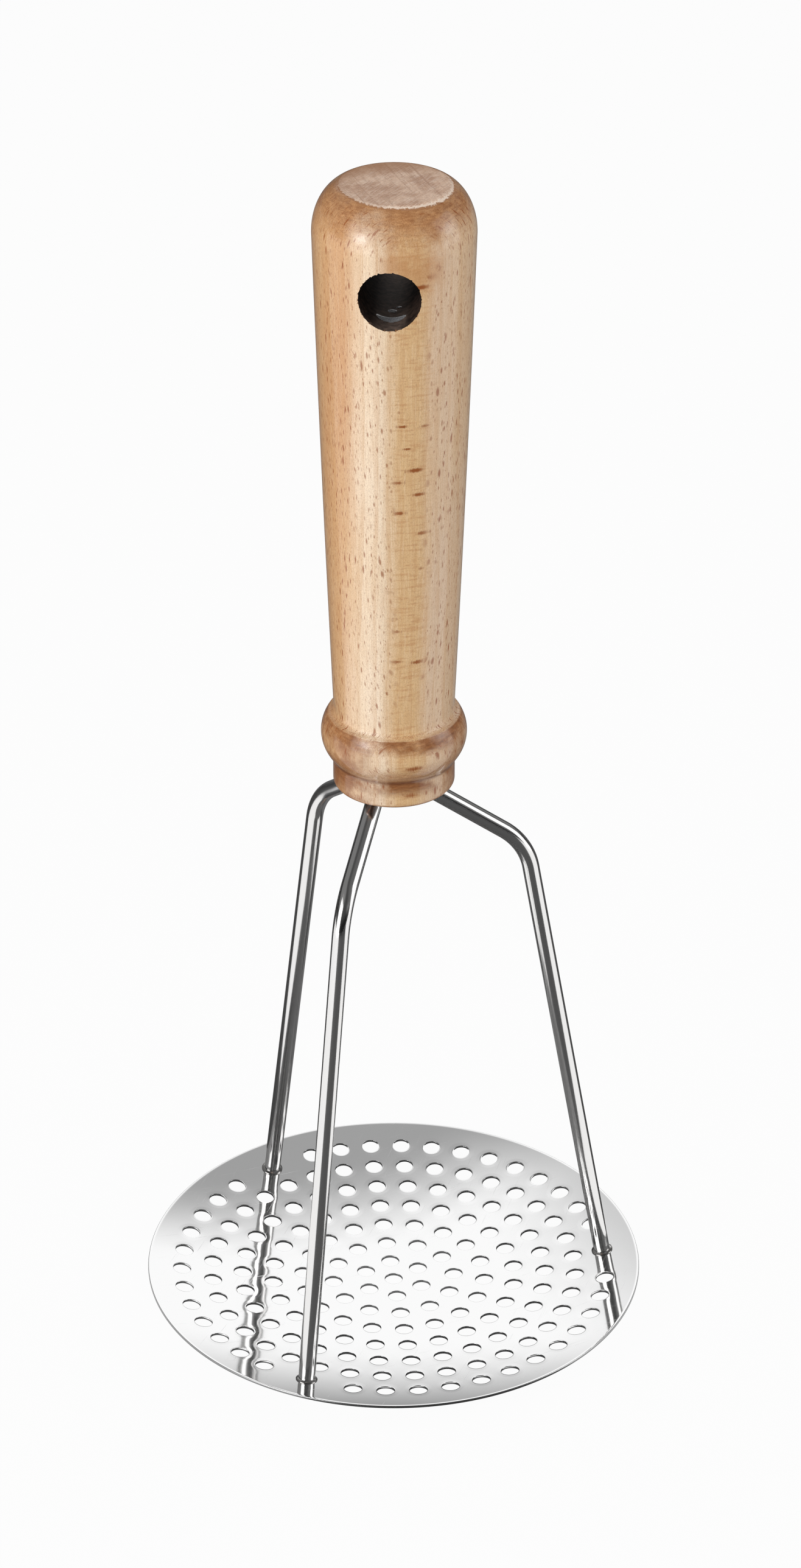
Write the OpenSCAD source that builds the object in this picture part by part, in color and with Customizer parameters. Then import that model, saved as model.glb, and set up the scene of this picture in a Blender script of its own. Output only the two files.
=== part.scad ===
// Hand masher for boiled potatoes: a turned wooden handle, three bent wire
// legs and a dished disc that is pierced with rings of round holes.
// All sizes are in millimetres. +Z is up, and the origin lies under the
// middle of the dish, at its lowest point.

/* [Disc] */
// Diameter of the disc
disc_d = 113.5; // [100:0.5:130]
// Thickness of the disc's sheet
sheet_t = 0.6; // [0.5:0.1:1.5]
// Depth of the dish, from its rim down to its middle
dish_depth = 5.8; // [3:0.1:10]
// Diameter of the round holes in the sheet
hole_d = 4.1; // [2.5:0.1:5]
// Step from one ring of holes to the next, seen from above
ring_step = 7; // [6.5:0.1:10]
// Least width of plain border outside the last ring of holes
border_w = 5; // [3:0.5:12]
// Direction of the right foot and of the hole pattern, in degrees from +X
pattern_az = 6.6; // [0:0.1:30]

/* [Legs] */
// Diameter of the wire
wire_d = 3.8; // [3:0.1:5]
// Distance from the middle of each foot to the disc's rim
foot_inset = 8; // [6:0.1:15]
// Distance from the middle line of the tool to the corner of each elbow
elbow_r = 29.3; // [22:0.1:36]
// Height of the handle's lower face above the corner of each elbow
elbow_drop = 17.3; // [14:0.1:26]
// Bend radius of each elbow, on the wire's middle line
elbow_bend_r = 15.5; // [8:0.5:20]
// Height of the handle's lower face above the bench
handle_z = 133.6; // [110:0.1:160]
// How far inside the handle each wire turns from its arm to its tang
tang_bend_rise = 2.7; // [1:0.1:4]
// Bend radius between arm and tang, on the wire's middle line
tang_bend_r = 5; // [4:0.5:7]
// Length of each tang above the handle's lower face
tang_l = 45; // [30:1:60]
// How much thicker the wire is in a bend, where the bending tool squeezed it
bend_swell = 0.1; // [0.06:0.02:0.2]
// Turn of the bundle of tangs against the feet, in degrees
bundle_turn = -58; // [-75:1:-45]
// Swing of the right elbow against its foot, in degrees
right_swing = -1.7; // [-4:0.1:4]
// Swing of the left elbow against its foot, in degrees
left_swing = -0.6; // [-4:0.1:4]
// Swing of the front elbow against its foot, in degrees
front_swing = 1.3; // [-4:0.1:4]
// Diameter of the upset ring that welding leaves round each foot
upset_d = 5; // [4.2:0.1:7]
// Height of that upset ring
upset_h = 0.4; // [0.2:0.1:1]
// Least width of whole sheet between an upset ring and a hole
weld_land = 1; // [0.5:0.1:3]

/* [Handle] */
// Length of the handle
handle_l = 139.6; // [110:0.1:160]
// Diameter of the collar at the handle's lower end
collar_d = 26.5; // [24:0.1:32]
// Rounding of the collar's lower edge
collar_edge_r = 1; // [0.2:0.1:2]
// Diameter of the bead above the collar
bead_d = 31.7; // [29:0.1:40]
// Radius of the bead's section
bead_section_r = 8.3; // [7:0.1:12]
// Height of the middle of the bead above the handle's lower face
bead_up = 12.5; // [10:0.1:20]
// Diameter of the neck, where the grip rises from the bead
neck_d = 26.1; // [24:0.1:32]
// Largest diameter of the grip, where the shoulder begins
grip_d = 34.2; // [30:0.1:40]
// How far the grip's side bows out from a straight taper
grip_swell = 0.18; // [0:0.02:1]
// Diameter of the flat top face
top_d = 23.2; // [12:0.1:28]
// Height of the shoulder's full curve, which the top face cuts short
shoulder_h = 10.8; // [6:0.1:16]
// Width of the shoulder's full curve
shoulder_w = 7.5; // [5.9:0.1:12]

/* [Bores] */
// Diameter of the cross hole that the tool hangs by
hang_d = 13; // [8:0.1:15]
// Depth of the cross hole's middle below the top face
hang_drop = 19; // [18:0.1:30]
// Direction of the cross hole, in degrees from +X
hang_az = 266.6; // [230:0.1:310]
// Depth of the socket below the tangs' ends, left over by the drill
socket_spare = 3; // [1:0.5:8]
// Point angle of the drill that makes the socket
drill_point = 118; // [90:1:140]

/* [Fits] */
// Gap between the thickened wires of neighbouring tangs
tang_gap = 0.02; // [0.02:0.01:0.2]
// Gap between the bundle of tangs and the socket's wall
socket_gap = 0.03; // [0.03:0.01:0.3]
// Gap between the bent wires and the socket's countersunk mouth
mouth_gap = 0.4; // [0.3:0.1:1]

/* [Hidden] */

// Faces round a ball that bounds the sheet, a turned piece, a wire and a hole
ball_fn = 360;
turned_fn = 120;
wire_fn = 48;
hole_fn = 36;
// Length that a cut runs past the surface that it opens
over = 1;
// Length by which a straight run laps into the thicker bend beside it
rod_lap = 0.4;

// Radius of the dish's underside, whose ball touches the bench
dish_r = (pow(disc_d / 2, 2) + pow(dish_depth, 2)) / (2 * dish_depth);
// Radius of the dish's upper face, on the same centre
dish_top_r = dish_r - sheet_t;
ring_count = floor((disc_d / 2 - border_w - hole_d / 2) / ring_step);

foot_r = disc_d / 2 - foot_inset;
elbow_z = handle_z - elbow_drop;
legs = [0, 1, 2];
swing = [right_swing, left_swing, front_swing];
bend_d = wire_d + bend_swell;
// Radius on which the tangs stand round the middle line
tang_ring_r = (bend_d + tang_gap) / sqrt(3);
socket_r = tang_ring_r + bend_d / 2 + socket_gap;
socket_depth = tang_l + socket_spare;

collar_r = collar_d / 2;
neck_r = neck_d / 2;
grip_r = grip_d / 2;
// Centre of the bead's section
bead_c = [bead_d / 2 - bead_section_r, bead_up];
// Centre of the shoulder's quarter ellipse, and where the top face ends it
shoulder_cx = grip_r - shoulder_w;
shoulder_end = acos((top_d / 2 - shoulder_cx) / shoulder_w);
shoulder_cz = handle_l - shoulder_h * sin(shoulder_end);
bead_steps = 20;
grip_steps = 16;
shoulder_steps = 16;
edge_steps = 4;

function unit(v) = v / norm(v);
// Point at a radius and a direction round the middle line
function polar(r, az, z) = [r * cos(az), r * sin(az), z];
// Height of the dish's upper face at a radius
function dish_z(r) = dish_r - sqrt(pow(dish_top_r, 2) - pow(r, 2));
// Angle by which a path turns at b
function bend_angle(a, b, c) = acos(unit(b - a) * unit(c - b));
// Length from a corner to either end of its bend
function bend_run(a, b, c, r) = r * tan(bend_angle(a, b, c) / 2);

function foot_az(i) = pattern_az + 120 * i;
function foot_point(i) = polar(foot_r, foot_az(i), dish_z(foot_r));
function elbow_corner(i) = polar(elbow_r, foot_az(i) + swing[i], elbow_z);
function tang_point(i, up) = polar(tang_ring_r, foot_az(i) + bundle_turn, handle_z + up);
function tang_corner(i) = tang_point(i, tang_bend_rise);
function tang_end(i) = tang_point(i, tang_l);

// Direction of the arm, from its tang down to its elbow
function arm_dir(i) = unit(elbow_corner(i) - tang_corner(i));
// Point where the arm's upper side passes the handle's lower face
function mouth_point(i) =
    let (d = arm_dir(i), level = norm([d[0], d[1]]), fall = -d[2])
    let (reach = (tang_bend_rise * level + wire_d / 2) / fall)
    tang_corner(i) + reach * [d[0], d[1], 0] / level;
mouth_r = max([for (i = legs) norm([mouth_point(i)[0], mouth_point(i)[1]])]) + mouth_gap;
mouth_h = tang_bend_rise
    + max([for (i = legs) bend_run(tang_end(i), tang_corner(i), elbow_corner(i), tang_bend_r)]);

// Ball round the centre of the dish
module dish_ball(r) {
    translate([0, 0, dish_r])
        sphere(r = r, $fn = ball_fn);
}

// Stands its children on the dish's upper face, with -Z into the sheet
module on_sheet(r, az) {
    rotate([0, 0, az])
        translate([0, 0, dish_r])
            rotate([0, -asin(r / dish_top_r), 0])
                translate([0, 0, -dish_top_r])
                    children();
}

// Straight length of wire from a to b, which can lap past either end
module rod(a, b, lap_a = 0, lap_b = 0) {
    run = b - a;
    translate(a - unit(run) * lap_a)
        rotate([0, acos(run[2] / norm(run)), atan2(run[1], run[0])])
            cylinder(d = wire_d, h = norm(run) + lap_a + lap_b, $fn = wire_fn);
}

// Bend of radius r that turns the wire at corner b, between a and c
module bend(a, b, c, r) {
    ahead = unit(b - a);
    turn = bend_angle(a, b, c);
    out = -unit(unit(c - b) - ahead * cos(turn));
    start = b - ahead * bend_run(a, b, c, r);
    centre = start - out * r;
    side = cross(out, ahead);
    multmatrix([
        [out[0], ahead[0], side[0], centre[0]],
        [out[1], ahead[1], side[1], centre[1]],
        [out[2], ahead[2], side[2], centre[2]],
        [0, 0, 0, 1]])
        rotate_extrude(angle = turn, $fn = 4 * wire_fn)
            translate([r, 0])
                circle(d = bend_d, $fn = wire_fn);
}

// One leg: tang, bend in the handle's mouth, arm, elbow, lower run and foot
module leg(i) {
    top = tang_end(i);
    corner = tang_corner(i);
    elbow = elbow_corner(i);
    foot = foot_point(i);
    // The lower run goes on into the sheet, whose upper face trims it
    past_foot = foot + unit(foot - elbow) * wire_d;
    tang_run = bend_run(top, corner, elbow, tang_bend_r);
    elbow_run = bend_run(corner, elbow, foot, elbow_bend_r);
    intersection() {
        dish_ball(dish_top_r);
        union() {
            rod(top, corner + [0, 0, tang_run], 0, rod_lap);
            bend(top, corner, elbow, tang_bend_r);
            rod(corner + arm_dir(i) * tang_run, elbow - arm_dir(i) * elbow_run, rod_lap, rod_lap);
            bend(corner, elbow, foot, elbow_bend_r);
            rod(elbow + unit(foot - elbow) * elbow_run, past_foot, rod_lap, 0);
            on_sheet(foot_r, foot_az(i))
                translate([0, 0, -over])
                    cylinder(d = upset_d, h = over + upset_h, $fn = wire_fn);
        }
    }
}

// True where a hole would come too near to a foot
function spoils_foot(r, az) =
    min([for (i = legs) norm(polar(r, az, 0) - polar(foot_r, foot_az(i), 0))])
    < upset_d / 2 + weld_land + hole_d / 2;

// Cuts one hole, square to the sheet
module punch(r, az) {
    on_sheet(r, az)
        translate([0, 0, -sheet_t - over])
            cylinder(d = hole_d, h = sheet_t + 2 * over, $fn = hole_fn);
}

// Rings of six, twelve, eighteen and more holes, where every second ring is
// turned by half of its own spacing
module punched_rings() {
    punch(0, 0);
    for (k = [1 : ring_count]) {
        spacing = 60 / k;
        for (j = [0 : 6 * k - 1]) {
            az = pattern_az + (k % 2) * spacing / 2 + j * spacing;
            if (!spoils_foot(k * ring_step, az)) punch(k * ring_step, az);
        }
    }
}

module disc() {
    color("silver")
        difference() {
            intersection() {
                dish_ball(dish_r);
                translate([0, 0, -over])
                    cylinder(d = disc_d, h = over + dish_depth + 2 * sheet_t, $fn = ball_fn);
            }
            dish_ball(dish_top_r);
            punched_rings();
        }
}

// Points on an ellipse round c, from angle a to angle b
function sweep(c, rx, ry, a, b, steps) =
    [for (s = [0 : steps]) let (t = a + (b - a) * s / steps) c + [rx * cos(t), ry * sin(t)]];

// Angle on the bead's section where it meets a surface of radius r
function bead_angle(r) = acos((r - bead_c[0]) / bead_section_r);

// Half outline of the turned handle, from its lower face to its top face
function handle_outline() =
    let (edge_c = [collar_r - collar_edge_r, collar_edge_r])
    let (grip_z = bead_up + bead_section_r * sin(bead_angle(neck_r)))
    concat(
        [[0, 0]],
        sweep(edge_c, collar_edge_r, collar_edge_r, -90, 0, edge_steps),
        sweep(bead_c, bead_section_r, bead_section_r,
            -bead_angle(collar_r), bead_angle(neck_r), bead_steps),
        [for (s = [1 : grip_steps - 1]) let (t = s / grip_steps)
            [neck_r + (grip_r - neck_r) * t + 4 * grip_swell * t * (1 - t),
            grip_z + (shoulder_cz - grip_z) * t]],
        sweep([shoulder_cx, shoulder_cz], shoulder_w, shoulder_h, 0, shoulder_end, shoulder_steps),
        [[0, handle_l]]);

// Blind hole for the tangs, with the drill's point above and a countersunk mouth
module socket() {
    point_h = socket_r / tan(drill_point / 2);
    flare = (mouth_r - socket_r) / mouth_h;
    translate([0, 0, -over])
        cylinder(r = socket_r, h = over + socket_depth, $fn = turned_fn);
    translate([0, 0, socket_depth])
        cylinder(r1 = socket_r, r2 = 0, h = point_h, $fn = turned_fn);
    translate([0, 0, -over])
        cylinder(r1 = mouth_r + flare * over, r2 = socket_r, h = over + mouth_h, $fn = turned_fn);
}

// Through hole across the handle, near its top
module hang_hole() {
    translate([0, 0, handle_l - hang_drop])
        rotate([0, 90, hang_az])
            cylinder(d = hang_d, h = grip_d + 2 * over, center = true, $fn = turned_fn);
}

module handle() {
    color("burlywood")
        translate([0, 0, handle_z])
            difference() {
                rotate_extrude($fn = turned_fn) polygon(handle_outline());
                socket();
                hang_hole();
            }
}

module right_leg() {
    color("gainsboro") leg(0);
}

module left_leg() {
    color("gainsboro") leg(1);
}

module front_leg() {
    color("gainsboro") leg(2);
}

handle();
right_leg();
left_leg();
front_leg();
disc();
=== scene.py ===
import math

import bpy
import numpy as np
from bpy.props import FloatProperty, FloatVectorProperty, IntProperty, PointerProperty
from mathutils import Matrix, Vector, noise


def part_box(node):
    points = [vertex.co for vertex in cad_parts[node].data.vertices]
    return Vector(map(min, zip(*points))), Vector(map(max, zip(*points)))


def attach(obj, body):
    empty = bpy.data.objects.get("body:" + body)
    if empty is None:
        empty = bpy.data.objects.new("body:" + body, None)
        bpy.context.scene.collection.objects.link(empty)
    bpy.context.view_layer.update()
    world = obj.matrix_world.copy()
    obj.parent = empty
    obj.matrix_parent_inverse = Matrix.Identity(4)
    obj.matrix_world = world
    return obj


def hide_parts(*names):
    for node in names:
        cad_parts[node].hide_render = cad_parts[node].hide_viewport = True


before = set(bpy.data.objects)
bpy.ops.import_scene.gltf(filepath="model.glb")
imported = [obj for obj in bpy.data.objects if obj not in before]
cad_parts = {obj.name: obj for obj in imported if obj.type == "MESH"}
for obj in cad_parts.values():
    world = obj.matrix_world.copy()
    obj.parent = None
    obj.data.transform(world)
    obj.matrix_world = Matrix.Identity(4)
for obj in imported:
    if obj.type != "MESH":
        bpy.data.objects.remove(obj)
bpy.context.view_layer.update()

bl_info = {
    "name": "Potato masher",
    "version": (1, 0, 0),
    "blender": (4, 5, 0),
    "location": "View3D > Sidebar > Masher",
    "description": "A hand masher with a turned beech handle, three bent wire legs and a pierced dish",
    "category": "Add Mesh",
}

MM = 0.001
# Sag of lacquer in the hang hole: how far in, depth before and behind its crest and height in mm, and half width
LACQUER_SAG = (6.8, 1.3, 0.4, 0.3, 0.5)
# Blisters of lacquer further in: how far in, how far aside, half as deep, half as wide and how high in mm
LACQUER_BLISTERS = ((10.7, 0, 0.8, 1.0, 0.3), (12.4, 1.2, 0.5, 0.6, 0.2))
# Lowest and highest point of the handle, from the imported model
HANDLE_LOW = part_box("handle")[0][2]
HANDLE_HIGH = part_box("handle")[1][2]


def linear(code):
    """Linear red, green and blue of an sRGB colour that is written as six hex digits."""
    parts = [int(code[i:i + 2], 16) / 255 for i in (0, 2, 4)]
    return [p / 12.92 if p <= 0.04045 else ((p + 0.055) / 1.055) ** 2.4 for p in parts]


def length(name, description, default, **more):
    """Length property in metres, whose default is given in millimetres."""
    return FloatProperty(name=name, description=description, default=default * MM,
                         precision=5, subtype="DISTANCE", unit="LENGTH", **more)


def colour(name, description, code):
    """Colour property whose default is an sRGB hex colour."""
    return FloatVectorProperty(name=name, description=description, default=linear(code),
                               size=3, min=0, max=1, subtype="COLOR")


class HandleSizes(bpy.types.PropertyGroup):
    """Sizes and colours of the turned handle."""
    collar_d: length("Collar diameter", "Diameter of the collar at the lower end", 26.5)
    collar_edge_r: length("Collar edge", "Rounding of the collar's lower edge", 1.0)
    bead_d: length("Bead diameter", "Diameter of the bead above the collar", 31.7)
    bead_section_r: length("Bead section", "Radius of the bead's section", 8.3)
    bead_up: length("Bead height", "Height of the bead above the lower face", 12.5)
    bead_roll: FloatProperty(name="Bead roll", description="Angle above which the bead rolls over to the groove",
                             default=math.radians(34), subtype="ANGLE", unit="ROTATION")
    bead_roll_r: length("Bead roll radius", "Radius with which the bead rolls over to the groove", 1.0)
    neck_d: length("Neck diameter", "Diameter where the grip rises from the bead", 26.1)
    grip_d: length("Grip diameter", "Largest diameter of the grip", 34.2)
    grip_swell: length("Grip swell", "How far the grip's side bows out", 0.18)
    top_d: length("Top diameter", "Diameter of the flat, sawn top face", 23.2)
    shoulder_h: length("Shoulder height", "Height of the shoulder's full curve", 10.8)
    shoulder_w: length("Shoulder width", "Width of the shoulder's full curve", 7.5)
    corner_soft: length("Corner softness", "How far sanding has softened each corner", 0.45)
    groove_soft: length("Groove softness", "How far the lacquer fills the groove above the bead", 1.2)
    hang_d: length("Hang hole diameter", "Diameter of the cross hole", 13.0)
    hang_drop: length("Hang hole drop", "Depth of the cross hole's middle below the top", 19.0)
    hang_az: FloatProperty(name="Hang hole direction", description="Azimuth that the cross hole faces",
                           default=math.radians(266.6), subtype="ANGLE", unit="ROTATION")
    hang_chips: length("Hang hole chips", "Depth of the chips that the drill broke from the hole's edge", 0.24)
    socket_d: length("Socket diameter", "Diameter of the drilled socket for the tangs", 8.486)
    socket_depth: length("Socket depth", "Depth of the socket up to the drill's point", 48.0)
    mouth_d: length("Mouth diameter", "Diameter of the socket's countersunk mouth", 17.66)
    mouth_depth: length("Mouth depth", "Depth of the countersunk mouth", 5.284)
    drill_angle: FloatProperty(name="Drill point", description="Point angle of the drill that made the socket",
                               default=math.radians(118), subtype="ANGLE", unit="ROTATION")
    rays_az: FloatProperty(name="Ray direction", description="Azimuth in which the wood's rays run",
                           default=math.radians(13), subtype="ANGLE", unit="ROTATION")
    # Pale is partly a painted highlight of the left soft light, and amber partly painted shade of the dimly lit left
    # edge
    pale: colour("Pale wood", "Palest colour of the wood", "EEDAC0")
    tan: colour("Tan wood", "Middle colour of the wood", "D9B687")
    amber_and_edge_shade: colour("Amber wood", "Warm colour of the wood towards its left side", "C8996C")
    rosy: colour("Rosy wood", "Pinkish colour of the wood towards its right side", "D6BA9C")
    late: colour("Late wood", "Colour of the dense end of each growth ring", "C99F72")
    fleck: colour("Ray flecks", "Colour of the short flecks where rays end", "8C491B")
    end_brown: colour("Cut fibre", "Darkest colour where the turning cuts across the fibres", "85502B")
    end_tan: colour("Sanded fibre", "Palest colour where the turning cuts across the fibres", "BD8A5A")
    # The crease colour is partly lacquer gathered in the corner and partly painted shade there
    lacquer_and_shade_crease: colour("Crease", "Colour of the lacquer that gathered in the corners", "5F2F12")
    bore: colour("Bore", "Colour of the drilled wood inside the cross hole", "261E1B")


class WireSizes(bpy.types.PropertyGroup):
    """Sizes of the bent wire legs."""
    wire_d: length("Wire diameter", "Diameter of the wire", 3.8)
    foot_r: length("Foot radius", "Distance from the middle line to each foot", 48.75)
    foot_z: length("Foot height", "Height of each foot above the bench", 4.878)
    elbow_r: length("Elbow radius", "Distance from the middle line to each elbow's corner", 29.3)
    elbow_z: length("Elbow height", "Height of each elbow's corner above the bench", 116.3)
    elbow_bend_r: length("Elbow bend", "Bend radius of each elbow", 15.5)
    tang_r: length("Tang radius", "Distance from the middle line to each tang", 2.263)
    tang_z: length("Tang bend height", "Height of each tang's lower corner above the bench", 136.3)
    tang_bend_r: length("Tang bend", "Bend radius between arm and tang", 5.0)
    tang_end: length("Tang end", "Height of each tang's upper end above the bench", 178.6)
    upset_d: length("Upset diameter", "Diameter of the ring that welding pressed out at each foot", 5.0)
    upset_h: length("Upset height", "Height of that ring", 0.4)
    bundle_turn: FloatProperty(name="Bundle turn", description="Turn of the tangs against the feet",
                               default=math.radians(-58), subtype="ANGLE", unit="ROTATION")
    steel: colour("Wire steel", "Reflected colour of the polished wire", "F0EFEE")


class DishSizes(bpy.types.PropertyGroup):
    """Sizes of the pierced dish."""
    disc_d: length("Disc diameter", "Diameter of the disc", 113.5)
    ball_r: length("Dish radius", "Radius of the ball that the dish's underside follows", 280.535)
    sheet_t: length("Sheet thickness", "Thickness of the sheet", 0.6)
    hole_d: length("Hole diameter", "Diameter of the round holes", 4.1)
    lip_r: length("Rolled lip", "Radius that the punch rolled on each hole's upper edge", 0.07)
    dimple: length("Dimple", "How far the punch pulled the sheet down round each hole", 0.009)
    patch_r: length("Dimple radius", "Radius up to which the punch pulled the sheet down", 3.3)
    ring_step: length("Ring step", "Step from one ring of holes to the next", 7.0)
    ring_count: IntProperty(name="Rings", description="Number of rings round the middle hole",
                            default=7, min=1, max=12)
    keep_out: length("Foot clearance", "No hole's middle lies nearer than this to a foot", 5.55)
    pattern_az: FloatProperty(name="Pattern direction", description="Azimuth of the hole pattern and the right foot",
                              default=math.radians(6.6), subtype="ANGLE", unit="ROTATION")
    steel: colour("Sheet steel", "Reflected colour of the polished sheet", "FAFAFA")


class StudioSettings(bpy.types.PropertyGroup):
    """Light levels of the studio."""
    room: FloatProperty(name="Room light", description="Strength of the even light from all round",
                        default=0.62, min=0)
    window: FloatProperty(name="Left light", description="Brightness of the large soft light at the left",
                          default=3.2, min=0)
    fill: FloatProperty(name="Right light", description="Brightness of the tall soft light at the right",
                        default=2.2, min=0)


def put(tree, kind, inputs=None, **settings):
    """Adds one node with its settings. Each input is a value or the output that feeds it."""
    made = tree.nodes.new(kind)
    for key, value in settings.items():
        setattr(made, key, value)
    for key, value in (inputs or {}).items():
        if isinstance(value, bpy.types.NodeSocket):
            tree.links.new(value, made.inputs[key])
        else:
            made.inputs[key].default_value = value
    return made


def new_material(name):
    """Material that holds one Principled shader, and that shader's node tree."""
    material = bpy.data.materials.new(name)
    material.use_nodes = True
    tree = material.node_tree
    tree.nodes.clear()
    shader = put(tree, "ShaderNodeBsdfPrincipled")
    put(tree, "ShaderNodeOutputMaterial", {"Surface": shader.outputs["BSDF"]})
    return material, tree, shader


def opaque(tone):
    """Colour with an alpha of one."""
    return (*tone, 1)


def slanted(tree, where, turn, scale):
    """Output of a position turned about Z by some degrees and then stretched along its own axes."""
    turned = put(tree, "ShaderNodeVectorRotate", {"Vector": where, "Angle": -math.radians(turn)},
                 rotation_type="Z_AXIS")
    return put(tree, "ShaderNodeVectorMath", {0: turned.outputs[0], 1: scale}, operation="MULTIPLY").outputs[0]


def hand_over(name, mesh, node):
    """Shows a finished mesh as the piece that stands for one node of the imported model."""
    piece = bpy.data.objects.new(name, mesh)
    bpy.context.scene.collection.objects.link(piece)
    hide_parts(node)
    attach(piece, "root")
    return piece


def lathe(name, outline, segments):
    """Mesh turned round Z from (radius, height) points. The solid lies to the left of the outline's way."""
    points, rows = [], []
    for radius, height in outline:
        count = segments if radius > 1e-7 else 1
        rows.append(range(len(points), len(points) + count))
        for i in range(count):
            turn = 2 * math.pi * i / segments
            points.append((radius * math.cos(turn), radius * math.sin(turn), height))
    faces = []
    for low, high in zip(rows, rows[1:]):
        for i in range(segments):
            after = (i + 1) % segments
            corners = [low[i % len(low)], low[after % len(low)], high[after % len(high)], high[i % len(high)]]
            faces.append(list(dict.fromkeys(corners)))
    mesh = bpy.data.meshes.new(name)
    mesh.from_pydata(points, [], faces)
    mesh.shade_smooth()
    return mesh


def straight(start, end, step):
    """Points from start to end at about one step from each other."""
    start, end = Vector(start), Vector(end)
    count = max(1, round((end - start).length / step))
    return [start.lerp(end, i / count) for i in range(count + 1)]


def arc(centre, half_width, half_height, first, last, steps):
    """Points on an upright ellipse from one angle to another."""
    turns = [first + (last - first) * i / steps for i in range(steps + 1)]
    return [Vector((centre[0] + half_width * math.cos(a), centre[1] + half_height * math.sin(a))) for a in turns]


def joined(runs, reaches):
    """One line through all runs, with the corner before each further run softened over its own reach."""
    line = list(runs[0])
    for run, reach in zip(runs[1:], reaches):
        corner = run[0]
        line = [p for p in line if (p - corner).length >= reach]
        rest = [p for p in run if (p - corner).length >= reach]
        start, end = line[-1], rest[0]
        line += [start.lerp(corner, t).lerp(corner.lerp(end, t), t) for t in (1 / 6, 1 / 3, 1 / 2, 2 / 3, 5 / 6)]
        line += rest
    return line


def handle_runs(sizes):
    """Runs of the handle's outline, from the socket's point, out over the lower face and up to the top."""
    low, high = HANDLE_LOW, HANDLE_HIGH
    socket_r, mouth_r = sizes.socket_d / 2, sizes.mouth_d / 2
    tip = socket_r / math.tan(sizes.drill_angle / 2)
    collar_r, neck_r, grip_r = sizes.collar_d / 2, sizes.neck_d / 2, sizes.grip_d / 2
    section = sizes.bead_section_r
    bead = (sizes.bead_d / 2 - section, low + sizes.bead_up)
    bead_from = -math.acos((collar_r - bead[0]) / section)
    roll = sizes.bead_roll_r
    rolled = (bead[0] + (section - roll) * math.cos(sizes.bead_roll),
              bead[1] + (section - roll) * math.sin(sizes.bead_roll))
    groove = math.acos((neck_r - rolled[0]) / roll)
    shoulder_x = grip_r - sizes.shoulder_w
    shoulder_end = math.acos((sizes.top_d / 2 - shoulder_x) / sizes.shoulder_w)
    shoulder_z = high - sizes.shoulder_h * math.sin(shoulder_end)
    grip_z = rolled[1] + roll * math.sin(groove)
    bead_z = bead[1] + section * math.sin(bead_from)
    grip = []
    for point in straight((neck_r, grip_z), (grip_r, shoulder_z), 0.8 * MM):
        t = (point[1] - grip_z) / (shoulder_z - grip_z)
        grip.append(point + Vector((4 * sizes.grip_swell * t * (1 - t), 0)))
    shoulder = arc((shoulder_x, shoulder_z), sizes.shoulder_w, sizes.shoulder_h, 0, shoulder_end, 44)
    edge = sizes.collar_edge_r
    top_r = sizes.top_d / 2
    return {
        "socket": straight((0, low + sizes.socket_depth + tip), (socket_r, low + sizes.socket_depth), 2 * MM)
        + straight((socket_r, low + sizes.socket_depth - MM), (socket_r, low + sizes.mouth_depth), 5 * MM),
        "mouth": straight((socket_r, low + sizes.mouth_depth), (mouth_r, low), MM),
        "lower face": straight((mouth_r, low), (collar_r - edge, low), 0.6 * MM),
        "collar": arc((collar_r - edge, low + edge), edge, edge, -math.pi / 2, 0, 8)
        + straight((collar_r, low + edge + 0.3 * MM), (collar_r, bead_z), 0.3 * MM),
        "bead": arc(bead, section, section, bead_from, sizes.bead_roll, 40)
        + arc(rolled, roll, roll, sizes.bead_roll, groove, 12)[1:],
        "grip": grip + shoulder[1:],
        "top": straight((top_r, high), (top_r - 1.5 * MM, high), 0.15 * MM)
        + straight((top_r - 2 * MM, high), (0, high), MM),
    }


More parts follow.
